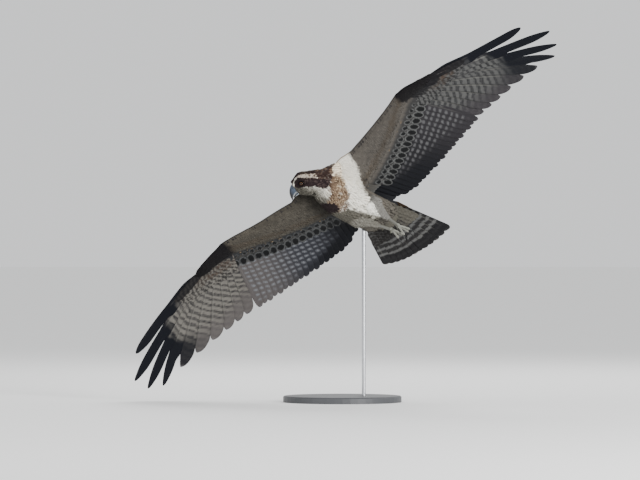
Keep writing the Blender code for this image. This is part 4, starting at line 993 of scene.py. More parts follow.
def secondaryTint(plan, places, under):
    rank, behind, across, share = (places[key] for key in ("rank", "behind", "across", "share"))
    point = places["point"]
    look, left = sideTones[plan["side"]], plan["side"] == "left"
    uneven, fine = ripple(point, 34.0, 21), ripple(point, 7.0, 22)
    rear = np.clip(-across / np.maximum(places["rearWidth"], 1), 0, 1)
    end = np.interp(rank, [4, 10, 16, 21], [0.58, 0.64, 0.74, 0.84] if left else [0.66, 0.78, 0.88, 0.92])
    end = end + 0.02 * uneven
    trailing = smoothStep(end, end + 0.12, share) * np.interp(rank, [8, 17], [0.9, 0.1] if left else [0.8, 0.1])
    base = mixed(np.broadcast_to(look["secondary"], point.shape), tones["secondaryDark"],
                 np.clip(trailing + smoothStep(11, 3, rank) * 0.95, 0, 1))
    # pale notches on the hind vane, strongest near the hand and gone near the body
    strength = smoothStep(3.5, 12, rank) * (1 - smoothStep(end - 0.06, end + 0.10, share))
    strength = strength * smoothStep(0.24, 0.46, rear) * (1 - 0.9 * smoothStep(0.74, 0.92, rear))
    pattern = 1 - bars(behind, 18.0, 0.56, across * 0.35 + 2.5 * uneven, 0.1, 0.35)
    base = mixed(base, look["grey"], smoothStep(11, 20, rank) * (0.5 if left else 0.9))
    colour = mixed(base, look["secondarySpot"], np.clip(pattern * strength * (1.0 + 0.2 * fine), 0, 1) * 0.95)
    tip = smoothStep(0.975, 0.99, share) * smoothStep(6, 14, rank) * 0.6
    colour = mixed(colour, look["tip"], tip)
    if not under:
        top = mixed(np.broadcast_to(tones["upper"], point.shape), tones["upperDark"], 0.4 + 0.4 * uneven)
        top = mixed(top, look["bar"], bars(behind, 18.0, 0.45, across * 0.3, 0.1) * 0.35)
        return mixed(top, tones["upperFringe"], smoothStep(0.965, 0.985, share) * 0.9) * (1 + 0.05 * fine[..., None])
    shaft = places["isShaft"] * (1 - smoothStep(0.6, 0.85, share)) * 0.2
    return mixed(colour, tones["shaft"], shaft) * (1 + 0.05 * fine[..., None])


darkShares = np.array([0.72, 0.74, 0.78, 0.80, 0.79, 0.73, 0.62, 0.57, 0.50, 0.40])   # where the dark tips begin


def primaryTint(plan, places, under):
    rank, behind, across, share = (places[key] for key in ("rank", "behind", "across", "share"))
    point = places["point"]
    look = sideTones[plan["side"]]
    uneven, fine = ripple(point, 40.0, 23), ripple(point, 8.0, 24)
    number = rank - wing["secondaries"]
    rear = np.clip(-across / np.maximum(places["rearWidth"], 1), 0, 1)
    front = np.clip(across / np.maximum(places["frontWidth"], 1), 0, 1)
    dark = np.interp(number, np.arange(10), darkShares)
    wobble = across * 0.30 + 3.0 * uneven + 1.5 * fine
    pattern = bars(behind, 19.5, np.interp(number, [0, 2], [0.54, 0.46]), wobble, 0.08, 0.35)
    base = mixed(np.broadcast_to(look["pale"], point.shape), look["bar"], pattern * (0.68 + 0.3 * fine))
    base = mixed(base, look["grey"], np.clip(front * 0.5 + 0.2 * uneven, 0, 1))
    base = base * (1 - 0.35 * smoothStep(0.86, 1.0, rear))[..., None]
    soft = np.interp(number, [0, 4, 6], [0.12, 0.12, 0.05])
    fade = smoothStep(-soft, soft, share - dark + 0.02 * uneven)
    fingerTone = mixed(np.broadcast_to(look["grey"], point.shape), tones["finger"], smoothStep(3.2, 5.2, number))
    colour = mixed(base, fingerTone, fade * np.interp(number, [0, 4, 6], [0.85, 0.85, 1.0]))
    colour = mixed(colour, tones["finger"], smoothStep(7.5, 8.5, number) * smoothStep(0.0, 0.4, front) * 0.9)
    colour = mixed(colour, tones["finger"], smoothStep(8.3, 8.7, number) * (0.9 - 0.75 * smoothStep(0.15, 0.5, rear)))
    fringe = smoothStep(0.975, 0.99, share) * (1 - smoothStep(4.5, 6.5, number)) * 0.6
    colour = mixed(colour, look["tip"], fringe)
    if not under:
        top = mixed(np.broadcast_to(tones["upperDark"], point.shape), tones["finger"], smoothStep(0.3, 0.7, share) * 0.6)
        top = mixed(top, look["grey"], bars(behind, 19.5, 0.4, wobble, 0.08) * 0.25 * rear)
        return mixed(top, tones["upperFringe"], smoothStep(0.975, 0.99, share) * 0.6) * (1 + 0.05 * fine[..., None])
    shaft = places["isShaft"] * (1 - fade) * 0.4
    colour = mixed(colour, tones["shaft"], shaft)
    return colour * (1 + 0.05 * fine[..., None])


def flightFeathers(plan):
    # the ten primaries and the secondaries, each on its own rank
    pieces = []
    shares = stationShares(96, 0.86, 11)
    ranks = np.arange(wing["secondaries"], dtype=float)
    front, rear = wing["secondaryWidths"][0], wing["secondaryWidths"][1] * (1 - 0.16 * smoothStep(0.75, 0.95, shares))
    ends = featherLengths(plan, ranks) + 2.2 * np.sin(ranks * 2.7) * smoothStep(0, 3, ranks)
    points, places = layVanes(plan, ranks, np.zeros(len(ranks)), ends, shares, front, rear, 0.0, 0.86, tipPower=2.3)
    pieces.append(("secondaries", points, places, secondaryTint(plan, places, False),
                   secondaryTint(plan, places, True)))
    shares = stationShares(168, 0.86, 13)
    ranks = wing["secondaries"] + np.arange(10.0)
    lengths = featherLengths(plan, ranks)
    rankGrid, shareGrid = np.meshgrid(ranks, shares, indexing="ij")
    spacing = wingAxes(plan, rankGrid, shareGrid)[3]
    least, most, part = wing["primaryBreadths"]
    rear = np.clip(spacing * part, least, most)
    front = np.full(rear.shape, wing["primaryWidths"][0])
    slims = wing["fingerWidths"][plan["side"]]
    front[9] = slims[0] + 5.0 * (1 - smoothStep(0.18, 0.5, shares))
    for number in range(1, 11):
        for widths, notches, slim in ((front, wing["outerNotches"], slims[0]), (rear, wing["innerNotches"], slims[1])):
            if number in notches[plan["side"]]:
                start = notches[plan["side"]][number]
                slim = slim * (wing["lastFinger"][plan["side"]] if number == 7 else 1.0)
                u = smoothStep(start, start + 0.10, shares)
                widths[number - 1] += (slim * (1 - 0.28 * smoothStep(0.8, 1.0, shares)) - widths[number - 1]) * u
    rear[:6] *= 1 - 0.2 * smoothStep(0.75, 0.97, shares)
    points, places = layVanes(plan, ranks, np.zeros(10), lengths, shares, front, rear, 0.0, 0.86, shaft=1.9)
    pieces.append(("primaries", points, places, primaryTint(plan, places, False), primaryTint(plan, places, True)))
    return pieces


def patchEnd(plan, ranks):
    # how far behind the roots the dark patch at the wrist reaches
    return np.interp(ranks, *np.array(wing["patchEnds"][plan["side"]]).T)


def greaterTint(plan, places, spots, under):
    # a big black oval ringed with a pale rim near the end of each greater covert
    share, across, point, rank = (places[key] for key in ("share", "across", "point", "rank"))
    look = sideTones[plan["side"]]
    uneven, fine = ripple(point, 26.0, 31), ripple(point, 6.0, 32)
    if not under:
        top = mixed(np.broadcast_to(tones["upper"], point.shape), tones["upperDark"], 0.35 + 0.3 * uneven)
        rimShade = np.maximum(smoothStep(0.93, 0.97, share), smoothStep(0.8, 1.0, np.abs(across) / np.maximum(
            places["rearWidth"], 1)) * smoothStep(0.55, 0.85, share))
        return mixed(top, tones["upperFringe"], rimShade * 0.85) * (1 + 0.05 * fine[..., None])
    base = mixed(np.broadcast_to(look["lining"], point.shape), look["ground"], smoothStep(0.25, 0.6, share))
    centre, halfLong, halfWide = spots
    along = (places["behind"] - centre) / halfLong
    wide = across / halfWide
    round = np.sqrt(along ** 2 + wide ** 2) + 0.10 * fine + 0.06 * uneven
    colour = mixed(base, look["rim"], within(1.02, 1.34, 0.10, round))
    colour = mixed(colour, tones["spot"], 1 - smoothStep(0.88, 1.06, round))
    # painted shadow of the body: darker at the innermost ranks, which only the right wing's under coverts reach
    inner = (1 - smoothStep(1.6, 2.8, rank)) * 0.7
    colour = mixed(colour, tones["secondaryDark"], inner)
    end = patchEnd(plan, rank)
    patch = (1 - smoothStep(0, 12, places["behind"] + 6 * fine - end)) * smoothStep(19.0, 20.5, rank)
    return mixed(colour, tones["carpal"], patch * 0.95) * (1 + 0.05 * fine[..., None])


def covertVanes(plan):
    # greater, median and primary coverts under and over the wing, as larger vanes with their own markings
    pieces = []
    left = plan["side"] == "left"
    shares = stationShares(34, 0.72, 9)
    ranks = np.linspace(3.4, 21.2, 15) if left else np.linspace(1.6, 21.2, 16)
    count = len(ranks)
    spotMiddle = np.interp(ranks, [1, 6, 21], [82, 76, 72] if left else [66, 62, 66])
    ends = spotMiddle + 17.0
    starts = np.full(count, 8.0)
    wide = np.interp(ranks, [1, 8, 21], [12.5, 12.0, 11.5])[:, None]
    lifts = (-5.6 + 2.8 * shares ** 0.6)[None, :]
    points, places = layVanes(plan, ranks, starts, ends, shares, wide, wide, lifts, 0.72, shaft=0.6, step=1.0,
                              rootLeast=0.8)
    longSpot = np.interp(ranks, [1, 4, 8, 21], [16, 14.5, 13.0, 13.0])[:, None, None]
    wideSpot = np.interp(ranks, [1, 5, 8, 21], [6.6, 7.4, 8.6, 8.6])[:, None, None]
    odd = (1 + 0.10 * np.sin(ranks * 3.1 + 1.0))[:, None, None]
    spots = (spotMiddle[:, None, None], longSpot * odd, wideSpot * (2 - odd) * 1.08)
    pieces.append(("greater_under", points, places, greaterTint(plan, places, spots, True), greaterTint(plan, places, spots, True)))
    # greater coverts over the wing
    ranks = np.linspace(0.6, 21.2, 19)
    lifts = (4.4 - 1.6 * shares)[None, :]
    reach = np.interp(ranks, [0, 21], [92.0, 86.0])
    points, places = layVanes(plan, ranks, np.full(19, -6.0), reach, shares, 12.0, 12.0, lifts, 0.72,
                              shaft=0.6, step=1.0, rootLeast=0.8)
    pieces.append(("greater_upper", points, places, greaterTint(plan, places, None, False), greaterTint(plan, places, None, False)))
    # primary coverts under the hand: barred and lanceolate, the outer ones longer
    ranks = np.linspace(21.6, 30.8, 11)
    reach = np.interp(ranks, [21, 25, 31], [92.0, 104.0, 128.0])
    lifts = (-5.2 + 2.0 * shares)[None, :]
    points, places = layVanes(plan, ranks, np.full(11, 6.0), reach, shares, 8.5, 11.0, lifts, 0.72, shaft=0.7, step=1.0, rootLeast=0.8)
    pieces.append(("primary_under", points, places, handCovertTint(plan, places), handCovertTint(plan, places)))
    lifts = (4.6 - 1.6 * shares)[None, :]
    points, places = layVanes(plan, ranks, np.full(11, -4.0), reach, shares, 8.5, 11.0, lifts, 0.72, shaft=0.7, step=1.0, rootLeast=0.8)
    pieces.append(("primary_upper", points, places, greaterTint(plan, places, None, False),
                   greaterTint(plan, places, None, False)))
    # median coverts: one row with small dark ovals under the arm, one fringed row above it
    ranks = np.linspace(3.0, 21.8, 16) if left else np.linspace(0.95, 21.8, 17)
    spotMiddle = np.interp(ranks, [1, 21], [50, 46] if left else [37, 34])
    shares = stationShares(24, 0.66, 8)
    lifts = (-7.6 + 3.0 * shares)[None, :]
    points, places = layVanes(plan, ranks, spotMiddle - 44, spotMiddle + 10, shares, 11.5, 11.5, lifts, 0.66, shaft=0.4,
                              step=1.2, rootLeast=0.8)
    fadeSpot = np.interp(ranks, [1, 3, 18, 22], [0.6, 1.0, 1.0, 0.2])[:, None, None]
    small = (spotMiddle[:, None, None] - 0.5, 8.0 * fadeSpot, 6.4 * fadeSpot)
    pieces.append(("median_under", points, places, greaterTint(plan, places, small, True), greaterTint(plan, places, small, True)))
    ranks = np.linspace(1.2, 22.0, 24)
    lifts = (7.4 - 2.6 * shares)[None, :]
    points, places = layVanes(plan, ranks, np.full(24, -18.0), np.full(24, 44.0), shares, 9.0, 9.0, lifts, 0.66,
                              shaft=0.4, step=1.2, rootLeast=0.8)
    pieces.append(("median_upper", points, places, greaterTint(plan, places, None, False), greaterTint(plan, places, None, False)))
    # axillaries: plain long feathers closing the pit between wing and body
    ranks = np.linspace(0.2, 3.3, 7)
    shares = stationShares(30, 0.6, 9)
    lifts = (-5.4 + 2.0 * shares)[None, :]
    starts, reach = (np.full(7, -6.0), np.interp(ranks, [0, 1.5, 3.4], [52, 60, 70])) if left else (
        np.full(7, -10.0), np.full(7, 16.0))
    points, places = layVanes(plan, ranks, starts, reach, shares, 9.5, 9.5, lifts, 0.6, shaft=0.5, step=1.0,
                              rootLeast=0.85)
    tint = axillaryTint(plan, places)
    pieces.append(("axillary_under", points, places, tint, tint))
    return pieces


def axillaryTint(plan, places):
    # grey like the lining, with a paler rim and a few dark shaft marks on the left; on the right, darkened by painted
    # shadow of the body
    share, across, point, rank = (places[key] for key in ("share", "across", "point", "rank"))
    behind, look = places["behind"], sideTones[plan["side"]]
    uneven, fine = ripple(point, 24.0, 35), ripple(point, 6.0, 36)
    colour = mixed(np.broadcast_to(look["lining"], point.shape), tones["axillary"], 0.5 + 0.3 * uneven)
    rim = np.maximum(smoothStep(0.9, 0.97, share), smoothStep(0.7, 1.0, np.abs(across) / np.maximum(
        places["rearWidth"], 1)) * smoothStep(0.5, 0.85, share))
    colour = mixed(colour, look["rim"], rim * 0.6)
    if plan["side"] == "left":
        for where, place in ((1.55, 11.0), (2.2, 2.0)):
            mark = np.exp(-((rank - where) / 0.20) ** 2 - ((behind - place) / 6.0) ** 2)
            colour = mixed(colour, tones["carpal"], mark * 0.9)
    else:
        # painted shadow of the body over the right axillaries
        colour = colour * (0.48 + 0.1 * smoothStep(2.0, 4.0, rank))[..., None]
    return colour * (1 + 0.05 * fine[..., None])


def handCovertTint(plan, places):
    # barred like the primaries, with a black patch at the wrist and rufous flecks behind it
    share, across, point, rank = (places[key] for key in ("share", "across", "point", "rank"))
    behind, look = places["behind"], sideTones[plan["side"]]
    uneven, fine = ripple(point, 24.0, 33), ripple(point, 6.0, 34)
    base = mixed(np.broadcast_to(look["pale"], point.shape), tones["carpal"],
                 bars(behind, 15.0, 0.50, across * 0.6 + 3.5 * uneven + 2.5 * fine, 0.08, 0.3) * 0.85)
    if plan["side"] == "left":
        rufous = within(25.5, 31, 1.5, rank) * within(48, 92, 8, behind)
    else:
        rufous = within(21.5, 30, 1.5, rank) * within(14, 64, 8, behind)
    base = mixed(base, tones["rufous"], np.clip(rufous * (0.40 + 0.45 * uneven + 0.4 * fine), 0, 1))
    patch = 1 - smoothStep(-4, 10, behind + 8 * fine + 4 * uneven - patchEnd(plan, rank))
    base = mixed(base, tones["carpal"], np.clip(patch, 0, 1) * 0.95)
    return mixed(base, tones["carpal"], smoothStep(29.8, 30.6, rank) * 0.9) * (1 + 0.05 * fine[..., None])


def coreHeight(plan, ranks, along):
    # half thickness of the flesh at a share of the way from the leading edge to its back
    thick = np.interp(ranks, *np.array(wing["thickness"]).T)
    root = 2 * np.sqrt(np.clip(along * (1 - along), 0, 1))
    return thick / 2 * root * (1.15 - 0.35 * along)


def corePoints(plan, ranks, along, side, out=0.0):
    # a place on the flesh: side 1 above, -1 below, with the outward height added
    front, root, tip = (atRank(plan[key], ranks) for key in ("edges", "roots", "tips"))
    rear = root + unit(tip - root) * wing["coreBack"]
    normal = atRank(plan["normals"], ranks)
    rise = side * (coreHeight(plan, ranks, along) + out)
    return front + (rear - front) * along[..., None] + normal * rise[..., None]


def liningTint(plan, points, ranks, behind, side):
    # the plain lining under the arm, the black patch at the wrist, and the brown upper side
    uneven, fine = ripple(points, 30.0, 41), ripple(points, 9.0, 42)
    look = sideTones[plan["side"]]
    edgeBack = behind + np.linalg.norm(atRank(plan["roots"], ranks) - atRank(plan["edges"], ranks), axis=-1)
    colour = np.broadcast_to(look["lining"], points.shape) * (1 + 0.16 * uneven)[..., None]
    colour = mixed(colour, tones["liningBrown"], np.clip(within(-34, -14, 7, behind + 6 * uneven) * 0.6, 0, 1))
    colour = mixed(colour, look["ground"], smoothStep(4, 14, behind) * 0.7)
    patch = (1 - smoothStep(-4, 8, behind + 6 * fine - patchEnd(plan, ranks))) * smoothStep(
        19.6, 20.8, ranks + 0.4 * uneven)
    if plan["side"] == "left":
        colour = colour * (1 + 0.35 * (1 - smoothStep(3, 9, ranks)))[..., None]
        for where, place in ((2.65, -19.0), (2.3, -30.0)):
            mark = np.exp(-((ranks - where) / 0.18) ** 2 - ((behind - place) / 5.0) ** 2)
            colour = mixed(colour, tones["carpal"], mark * (side < 0) * 0.9)
        lastWhite = tableAt(wing["whiteBase"], edgeBack)
        white = (1 - smoothStep(-0.35, 0.35, ranks - lastWhite + 0.25 * fine)) * (behind < 60)
    else:
        # painted shadow of the body on the right wing's lining: darker near the body, with none of the white that the
        # left wing has there
        shadow = 1 - smoothStep(2.2, 6.5, ranks + 0.6 * uneven)
        colour = colour * (1 - 0.52 * np.clip(shadow, 0, 1))[..., None]
        white = np.zeros_like(ranks)
    above = mixed(np.broadcast_to(tones["upper"], points.shape), tones["upperDark"], 0.3 + 0.3 * uneven)
    colour = mixed(colour, above, (side > 0) * smoothStep(3.0, 8.0, edgeBack))
    line = (side > 0) * (1 - smoothStep(5.0, 9.0, edgeBack)) + (1 - smoothStep(0.3, 0.9, edgeBack))
    colour = mixed(colour, tones["edgeLine"], np.clip(line, 0, 1) * 0.85)
    colour = mixed(colour, tones["white"], white * (side < 0))
    colour = mixed(colour, tones["upperFringe"], white * (side > 0) * (edgeBack < 14) * 0.8)
    colour = mixed(colour, tones["carpal"], np.clip(patch, 0, 1) * ((side < 0) | (edgeBack < 24)) * 0.95)
    return colour * (1 + 0.06 * fine[..., None])


def smallCoverts(plan, name):
    # small feathers in staggered rows over the flesh, above and below, from the leading edge backward
    draw = np.random.default_rng(31 if plan["side"] == "left" else 32)
    ranks, behinds, sides, lengths = [], [], [], []
    for side in (1, -1):
        step = 5.2
        for k in range(26):
            count = 150 if k % 2 else 151
            row = np.linspace(-0.5, 31.3, count) + draw.uniform(-0.05, 0.05, count)
            deep = np.linalg.norm(atRank(plan["roots"], row) - atRank(plan["edges"], row), axis=-1)
            behind = -deep + 1.0 + k * step + draw.uniform(-0.8, 0.8, count)
            keep = behind < 8.0
            ranks.append(row[keep])
            behinds.append(behind[keep])
            sides.append(np.full(keep.sum(), float(side)))
            lengths.append(np.interp(k, [0, 3, 12], [8.5, 12.5, 19.0]) * draw.uniform(0.88, 1.12, keep.sum()))
    ranks, behind, sides, lengths = (np.concatenate(v) for v in (ranks, behinds, sides, lengths))
    deep = np.linalg.norm(atRank(plan["roots"], ranks) - atRank(plan["edges"], ranks), axis=-1)
    # the hand's rows stay inside its shorter flesh
    thin = deep < 60
    along = np.clip((behind + deep) / (deep + wing["coreBack"]), 0.012, 0.97)
    roots = corePoints(plan, ranks, along, sides, -0.4)
    reach = np.clip(along + 0.85 * lengths / (deep + wing["coreBack"]), 0, 1)
    ahead = corePoints(plan, ranks, reach, sides, 0.6) - roots
    across = corePoints(plan, ranks + 0.2, along, sides) - corePoints(plan, ranks - 0.2, along, sides)
    normals = unit(np.cross(ahead, across)) * -1.0
    flip = np.sum(normals * atRank(plan["normals"], ranks), axis=1) * sides < 0
    normals = np.where(flip[:, None], -normals, normals)
    backs = unit(ahead + across * 0.10 + draw.normal(0, 0.05, (len(ranks), 3)) * np.linalg.norm(ahead, axis=1)[:, None])
    backs = unit(backs - normals * np.sum(backs * normals, axis=1)[:, None])
    colours = liningTint(plan, roots, ranks, behind, sides) * draw.uniform(0.92, 1.08, len(ranks))[:, None]
    inPatch = (behind < patchEnd(plan, ranks) + 6) & (ranks > 20)
    edging = np.where(sides > 0, 0.7, 0.15) * (along > 0.10) * (1 - 0.9 * inPatch)
    fringe = np.where((sides > 0)[:, None], tones["upperFringe"], sideTones[plan["side"]]["rim"])[:, None]
    u = (ranks + 1) / 33
    bake = np.stack([u * 0.96 + 0.02, (along * 0.46 + np.where(sides > 0, 0.5, 0.02))], -1)
    parts = layFeathers(roots, normals, backs, lengths, lengths * 0.34,
                        np.radians(6 + draw.uniform(-2, 2, len(ranks))), 0.09, colours, edging, fringe, bake,
                        rimSide=0.5)
    points, faces = mirrored(parts[0], parts[1], plan["side"])
    return makePiece(name, points, faces, parts[2], parts[3], materials["featherCovert"], "white_feather")


def wingFlesh(plan, name, node):
    # the flesh under the coverts: a teardrop section from the leading edge to behind the roots
    count = 40
    ranks, turn = np.meshgrid(np.linspace(-0.6, 31.2, 110), np.arange(count) * 2 * math.pi / count, indexing="ij")
    along = (1 - np.cos(turn)) / 2
    side = np.where(np.sin(turn) >= 0, 1.0, -1.0)
    rings = corePoints(plan, ranks, along, side, -wing["coat"] * np.abs(np.sin(turn)))
    deep = np.linalg.norm(atRank(plan["roots"], ranks) - atRank(plan["edges"], ranks), axis=-1)
    behind = along * (deep + wing["coreBack"]) - deep
    tint = liningTint(plan, rings, ranks, behind, side)
    bake = np.stack([(ranks + 1) / 33 * 0.96 + 0.02, along * 0.46 + np.where(side > 0, 0.5, 0.02)], -1)
    points = tubePoints(rings)
    tints = np.concatenate([tint.reshape(-1, 3), tint[0, :1], tint[-1, :1]])
    bakes = np.concatenate([bake.reshape(-1, 2), bake[0, :1], bake[-1, :1]])
    faces = [group[:, ::-1] for group in tubeFaces(110, count)]
    points, faces = mirrored(points, faces, plan["side"])
    return makePiece(name, points, faces, tints, bakes, materials["skin"], "white_feather", (node,))


def makeWing(side):
    plan = wingPlan(side)
    wingFlesh(plan, "wing_" + side + "_flesh", "wing_" + side)
    smallCoverts(plan, "wing_" + side + "_small_coverts")
    for name, points, places, top, low in flightFeathers(plan) + covertVanes(plan):
        grid, faces, tints, bake, barbs = vanePiece(points, places, top, low, ((0.0, 0.0), (1.0, 1.0)))
        grid, faces = mirrored(grid, faces, side)
        makePiece("wing_" + side + "_" + name, grid, faces, tints, bake, materials["featherFlight"],
                  "flight_feather", barbs=barbs)
    return plan


wingPlans = {side: makeWing(side) for side in ("left", "right")}


# The tail: a fan of twelve feathers with the middle pair uppermost
tail = {
    "count": 12, "rootX": -219.0, "spread": 62.0, "shift": 8.0, "lift": 3.0,
    "left": (-380.0, 109.0, -21.0), "middle": (-394.0, -18.0, -6.0), "right": (-351.0, -104.0, 7.0),
    "widths": (12.0, 17.0), "step": 0.95,
    "flesh": [(-209.0, 11.0, 59.0, 16.0, -18.0), (-230.0, 11.0, 57.0, 10.5, -12.5), (-250.0, 11.0, 49.0, 3.6, -5.6)],
    "dark": paint(40, 38, 39), "pale": paint(104, 104, 103), "band": paint(30, 29, 33), "tip": paint(118, 114, 112),
    "covert": paint(112, 109, 101), "covertDark": paint(50, 47, 46),
    "upper": paint(80, 68, 56),
}


def tailFrames(ranks):
    # root, tip and step of each feather, whose tips lie on a curve through the three corners
    share = (ranks / (tail["count"] - 1))[:, None]
    left, middle, right = (np.array(tail[key]) for key in ("left", "middle", "right"))
    control = 2 * middle - (left + right) / 2
    tips = left * (1 - share) ** 2 + 2 * control * share * (1 - share) + right * share ** 2
    roots = np.concatenate([np.full_like(share, tail["rootX"]), tail["shift"] + tail["spread"] * (1 - 2 * share),
                            np.full_like(share, tail["lift"])], axis=1)
    steps = np.where(ranks < (tail["count"] - 1) / 2, 10 - 2 * ranks, 2 * ranks - 11)
    tangents = unit(tips - roots)
    side = left - right - tangents * (tangents @ (left - right))[:, None]
    side = unit(side)
    up = np.cross(side, tangents)
    up = np.where(up[:, 2:] < 0, -up, up)
    return roots, tips, tail["step"] * steps, side, up


def tailVanes(ranks, start, reach, lifts, outer, inner, shares, tipStart, shaft, tipPower=2.0, hollow=0.010):
    # flat vanes with a ridge for the shaft, wider on the side towards the middle of the fan
    roots, tips, drops, side, up = tailFrames(ranks)
    left = (ranks <= (tail["count"] - 1) / 2)[:, None]
    outline = vaneOutline(shares, tipStart, tipPower, rootLeast=0.6)[None]
    front = np.where(left, outer, inner) * outline
    rear = np.where(left, inner, outer) * outline
    across = np.where(columns[None, None] > 0, columns * front[..., None], columns * rear[..., None])
    ridge = shaft * np.clip(1 - shares, 0.15, 1)[None, :, None]
    isRidge = (np.abs(columns) < 0.1)[None, None]
    across = np.where(isRidge, np.sign(columns) * np.minimum(ridge * 0.7, rear[..., None] * 0.3), across)
    place = start + (reach - start) * shares
    centre = roots[:, None] + (tips - roots)[:, None] * place[None, :, None]
    height = lifts[None, :] - drops[:, None]
    middle = (centre[:, :, None] + side[:, None, None] * across[..., None]
              + up[:, None, None] * (height[..., None] - np.abs(across) ** 1.6 * hollow)[..., None])
    half = np.where(isRidge, ridge * 0.42 + 0.2, 0.22) * np.ones_like(across)
    half = half * np.where(np.abs(columns) > 0.95, 0.25, 1.0)
    points = np.concatenate([middle + up[:, None, None] * half[..., None],
                             (middle - up[:, None, None] * half[..., None])[:, :, ::-1]], axis=2)
    length = np.linalg.norm(tips - roots, axis=1)[:, None, None]
    shape = across.shape
    places = {"rank": np.broadcast_to(ranks[:, None, None], shape), "point": middle, "across": across,
              "share": np.broadcast_to(shares[None, :, None], shape),
              "behind": np.broadcast_to(place[None, :, None] * length, shape),
              "fromTip": np.broadcast_to((1 - place[None, :, None]) * length, shape),
              "frontWidth": np.broadcast_to(front[..., None], shape),
              "rearWidth": np.broadcast_to(rear[..., None], shape), "isShaft": np.broadcast_to(isRidge, shape)}
    return points, places


def tailTint(places, under):
    # dark and pale bars counted from the tip, a broad dark band near the end and a thin pale tip
    point, fromTip, rank = places["point"], places["fromTip"], places["rank"]
    uneven, fine = ripple(point, 30.0, 51), ripple(point, 7.0, 52)
    end = np.interp(rank, [0, 3, 11], [50.0, 44.0, 38.0])
    wave = fromTip + 2.4 * uneven + 1.0 * fine - np.abs(places["across"]) * 0.10
    pattern = bars(wave - end, 25.0, 0.60, 0.0, 0.25, 0.4)
    pale = tail["pale"] if under else tail["upper"] * 1.5
    colour = mixed(np.broadcast_to(pale, point.shape), tail["dark"], np.clip(pattern * 0.95 + 0.15 * fine, 0, 1))
    colour = mixed(colour, tail["band"], smoothStep(0.5, 3.0, wave) * (1 - smoothStep(end - 3, end + 3, wave)) * 0.94)
    colour = mixed(colour, tail["tip"], (1 - smoothStep(1.0, 2.8, wave)) * 0.7)
    if not under:
        colour = mixed(colour, np.broadcast_to(tail["upper"], point.shape), 0.55)
    edge = np.where(rank < 0.5, places["across"] / np.maximum(places["frontWidth"], 1),
                    np.where(rank > tail["count"] - 1.5, -places["across"] / np.maximum(places["rearWidth"], 1), 0))
    colour = mixed(colour, tail["band"], smoothStep(0.6, 0.95, edge) * 0.85)
    colour = mixed(colour, tones["shaft"], places["isShaft"] * 0.3 * (1 - smoothStep(0.6, 0.85, places["share"])))
    return colour * (1 + 0.05 * fine[..., None])


def tailCovertTint(places, under):
    # barred dark grey below, with a plainer beige patch on the left; brown and fringed above
    point, rank = places["point"], places["rank"]
    uneven, fine = ripple(point, 22.0, 53), ripple(point, 8.0, 54)
    if under:
        colour = mixed(np.broadcast_to(tail["covertDark"], point.shape), tail["pale"], np.clip(0.35 + 0.3 * fine, 0, 1))
        mark = bars(places["behind"], 15.0, 0.55, np.abs(places["across"]) * -0.3 + 4 * uneven, 0.2, 0.4)
        colour = mixed(colour, tail["covertDark"], mark * 0.85)
        plainPart = (1 - smoothStep(2.2, 3.8, rank)) * 0.75
        return mixed(colour, tail["covert"] * (1 + 0.2 * fine)[..., None], plainPart)
    rim = smoothStep(0.9, 0.96, places["share"])
    return mixed(np.broadcast_to(tail["upper"], point.shape), tones["upperFringe"], rim * 0.8)


def makeTail():
    # the flesh at the tail's root, the twelve flight feathers, and the coverts above and below
    count = 48
    table = np.array(tail["flesh"])
    places, angles = np.meshgrid(np.linspace(table[0, 0], table[-1, 0], 16), np.arange(count) * 2 * math.pi / count,
                                 indexing="ij")
    rows = smoothRows(table[::-1], places)
    rings = np.stack([places, rows[..., 0] + rows[..., 1] * np.cos(angles),
                      (rows[..., 2] + rows[..., 3]) / 2 + (rows[..., 2] - rows[..., 3]) / 2 * np.sin(angles)], -1)
    tint = np.where((np.sin(angles) > 0)[..., None], tail["upper"], tail["covert"]).reshape(-1, 3)
    bake = np.stack([(places - table[-1, 0]) / 41.0 * 0.9 + 0.02, np.mod(angles / 6.3, 1) * 0.9 + 0.02], -1)
    points = tubePoints(rings)
    tints = np.concatenate([tint, tint[:1], tint[-1:]])
    bakes = np.concatenate([bake.reshape(-1, 2), np.array([[0.98, 0.5], [0.98, 0.6]])])
    faces = [group[:, ::-1] for group in tubeFaces(16, count)]
    makePiece("tail_flesh", points, faces, tints, bakes, materials["skin"], "white_feather", ("tail",))
    ranks = np.arange(12.0)
    shares = stationShares(72, 0.9, 10)
    points, places = tailVanes(ranks, 0.0, 1.0, np.zeros(len(shares)), *tail["widths"], shares, 0.9, 1.7)
    grid, faces, tints, bake, barbs = vanePiece(points, places, tailTint(places, False), tailTint(places, True),
                                                ((0.0, 0.0), (1.0, 1.0)))
    makePiece("tail_feathers", grid, faces, tints, bake, materials["featherFlight"], "flight_feather", barbs=barbs)
    for name, number, start, reach, lifts, under in (
            ("under", 13, -0.10, 0.34, (-7.5, -5.2), True), ("underShort", 12, -0.22, 0.16, (-11.0, -8.0), True),
            ("upper", 11, -0.10, 0.36, (7.6, 4.6), False), ("upperShort", 10, -0.22, 0.16, (10.5, 7.4), False)):
        ranks = np.linspace(0.2, 10.8, number)
        shares = stationShares(26, 0.72, 8)
        lift = lifts[0] + (lifts[1] - lifts[0]) * shares
        points, places = tailVanes(ranks, start, reach, lift, 11.0, 11.0, shares, 0.72, 0.5, hollow=0.03)
        tint = tailCovertTint(places, under)
        grid, faces, tints, bake, barbs = vanePiece(points, places, tint, tint, ((0.0, 0.0), (1.0, 1.0)))
        makePiece("tail_coverts_" + name, grid, faces, tints, bake, materials["featherCovert"], "white_feather",
                  barbs=barbs)


makeTail()


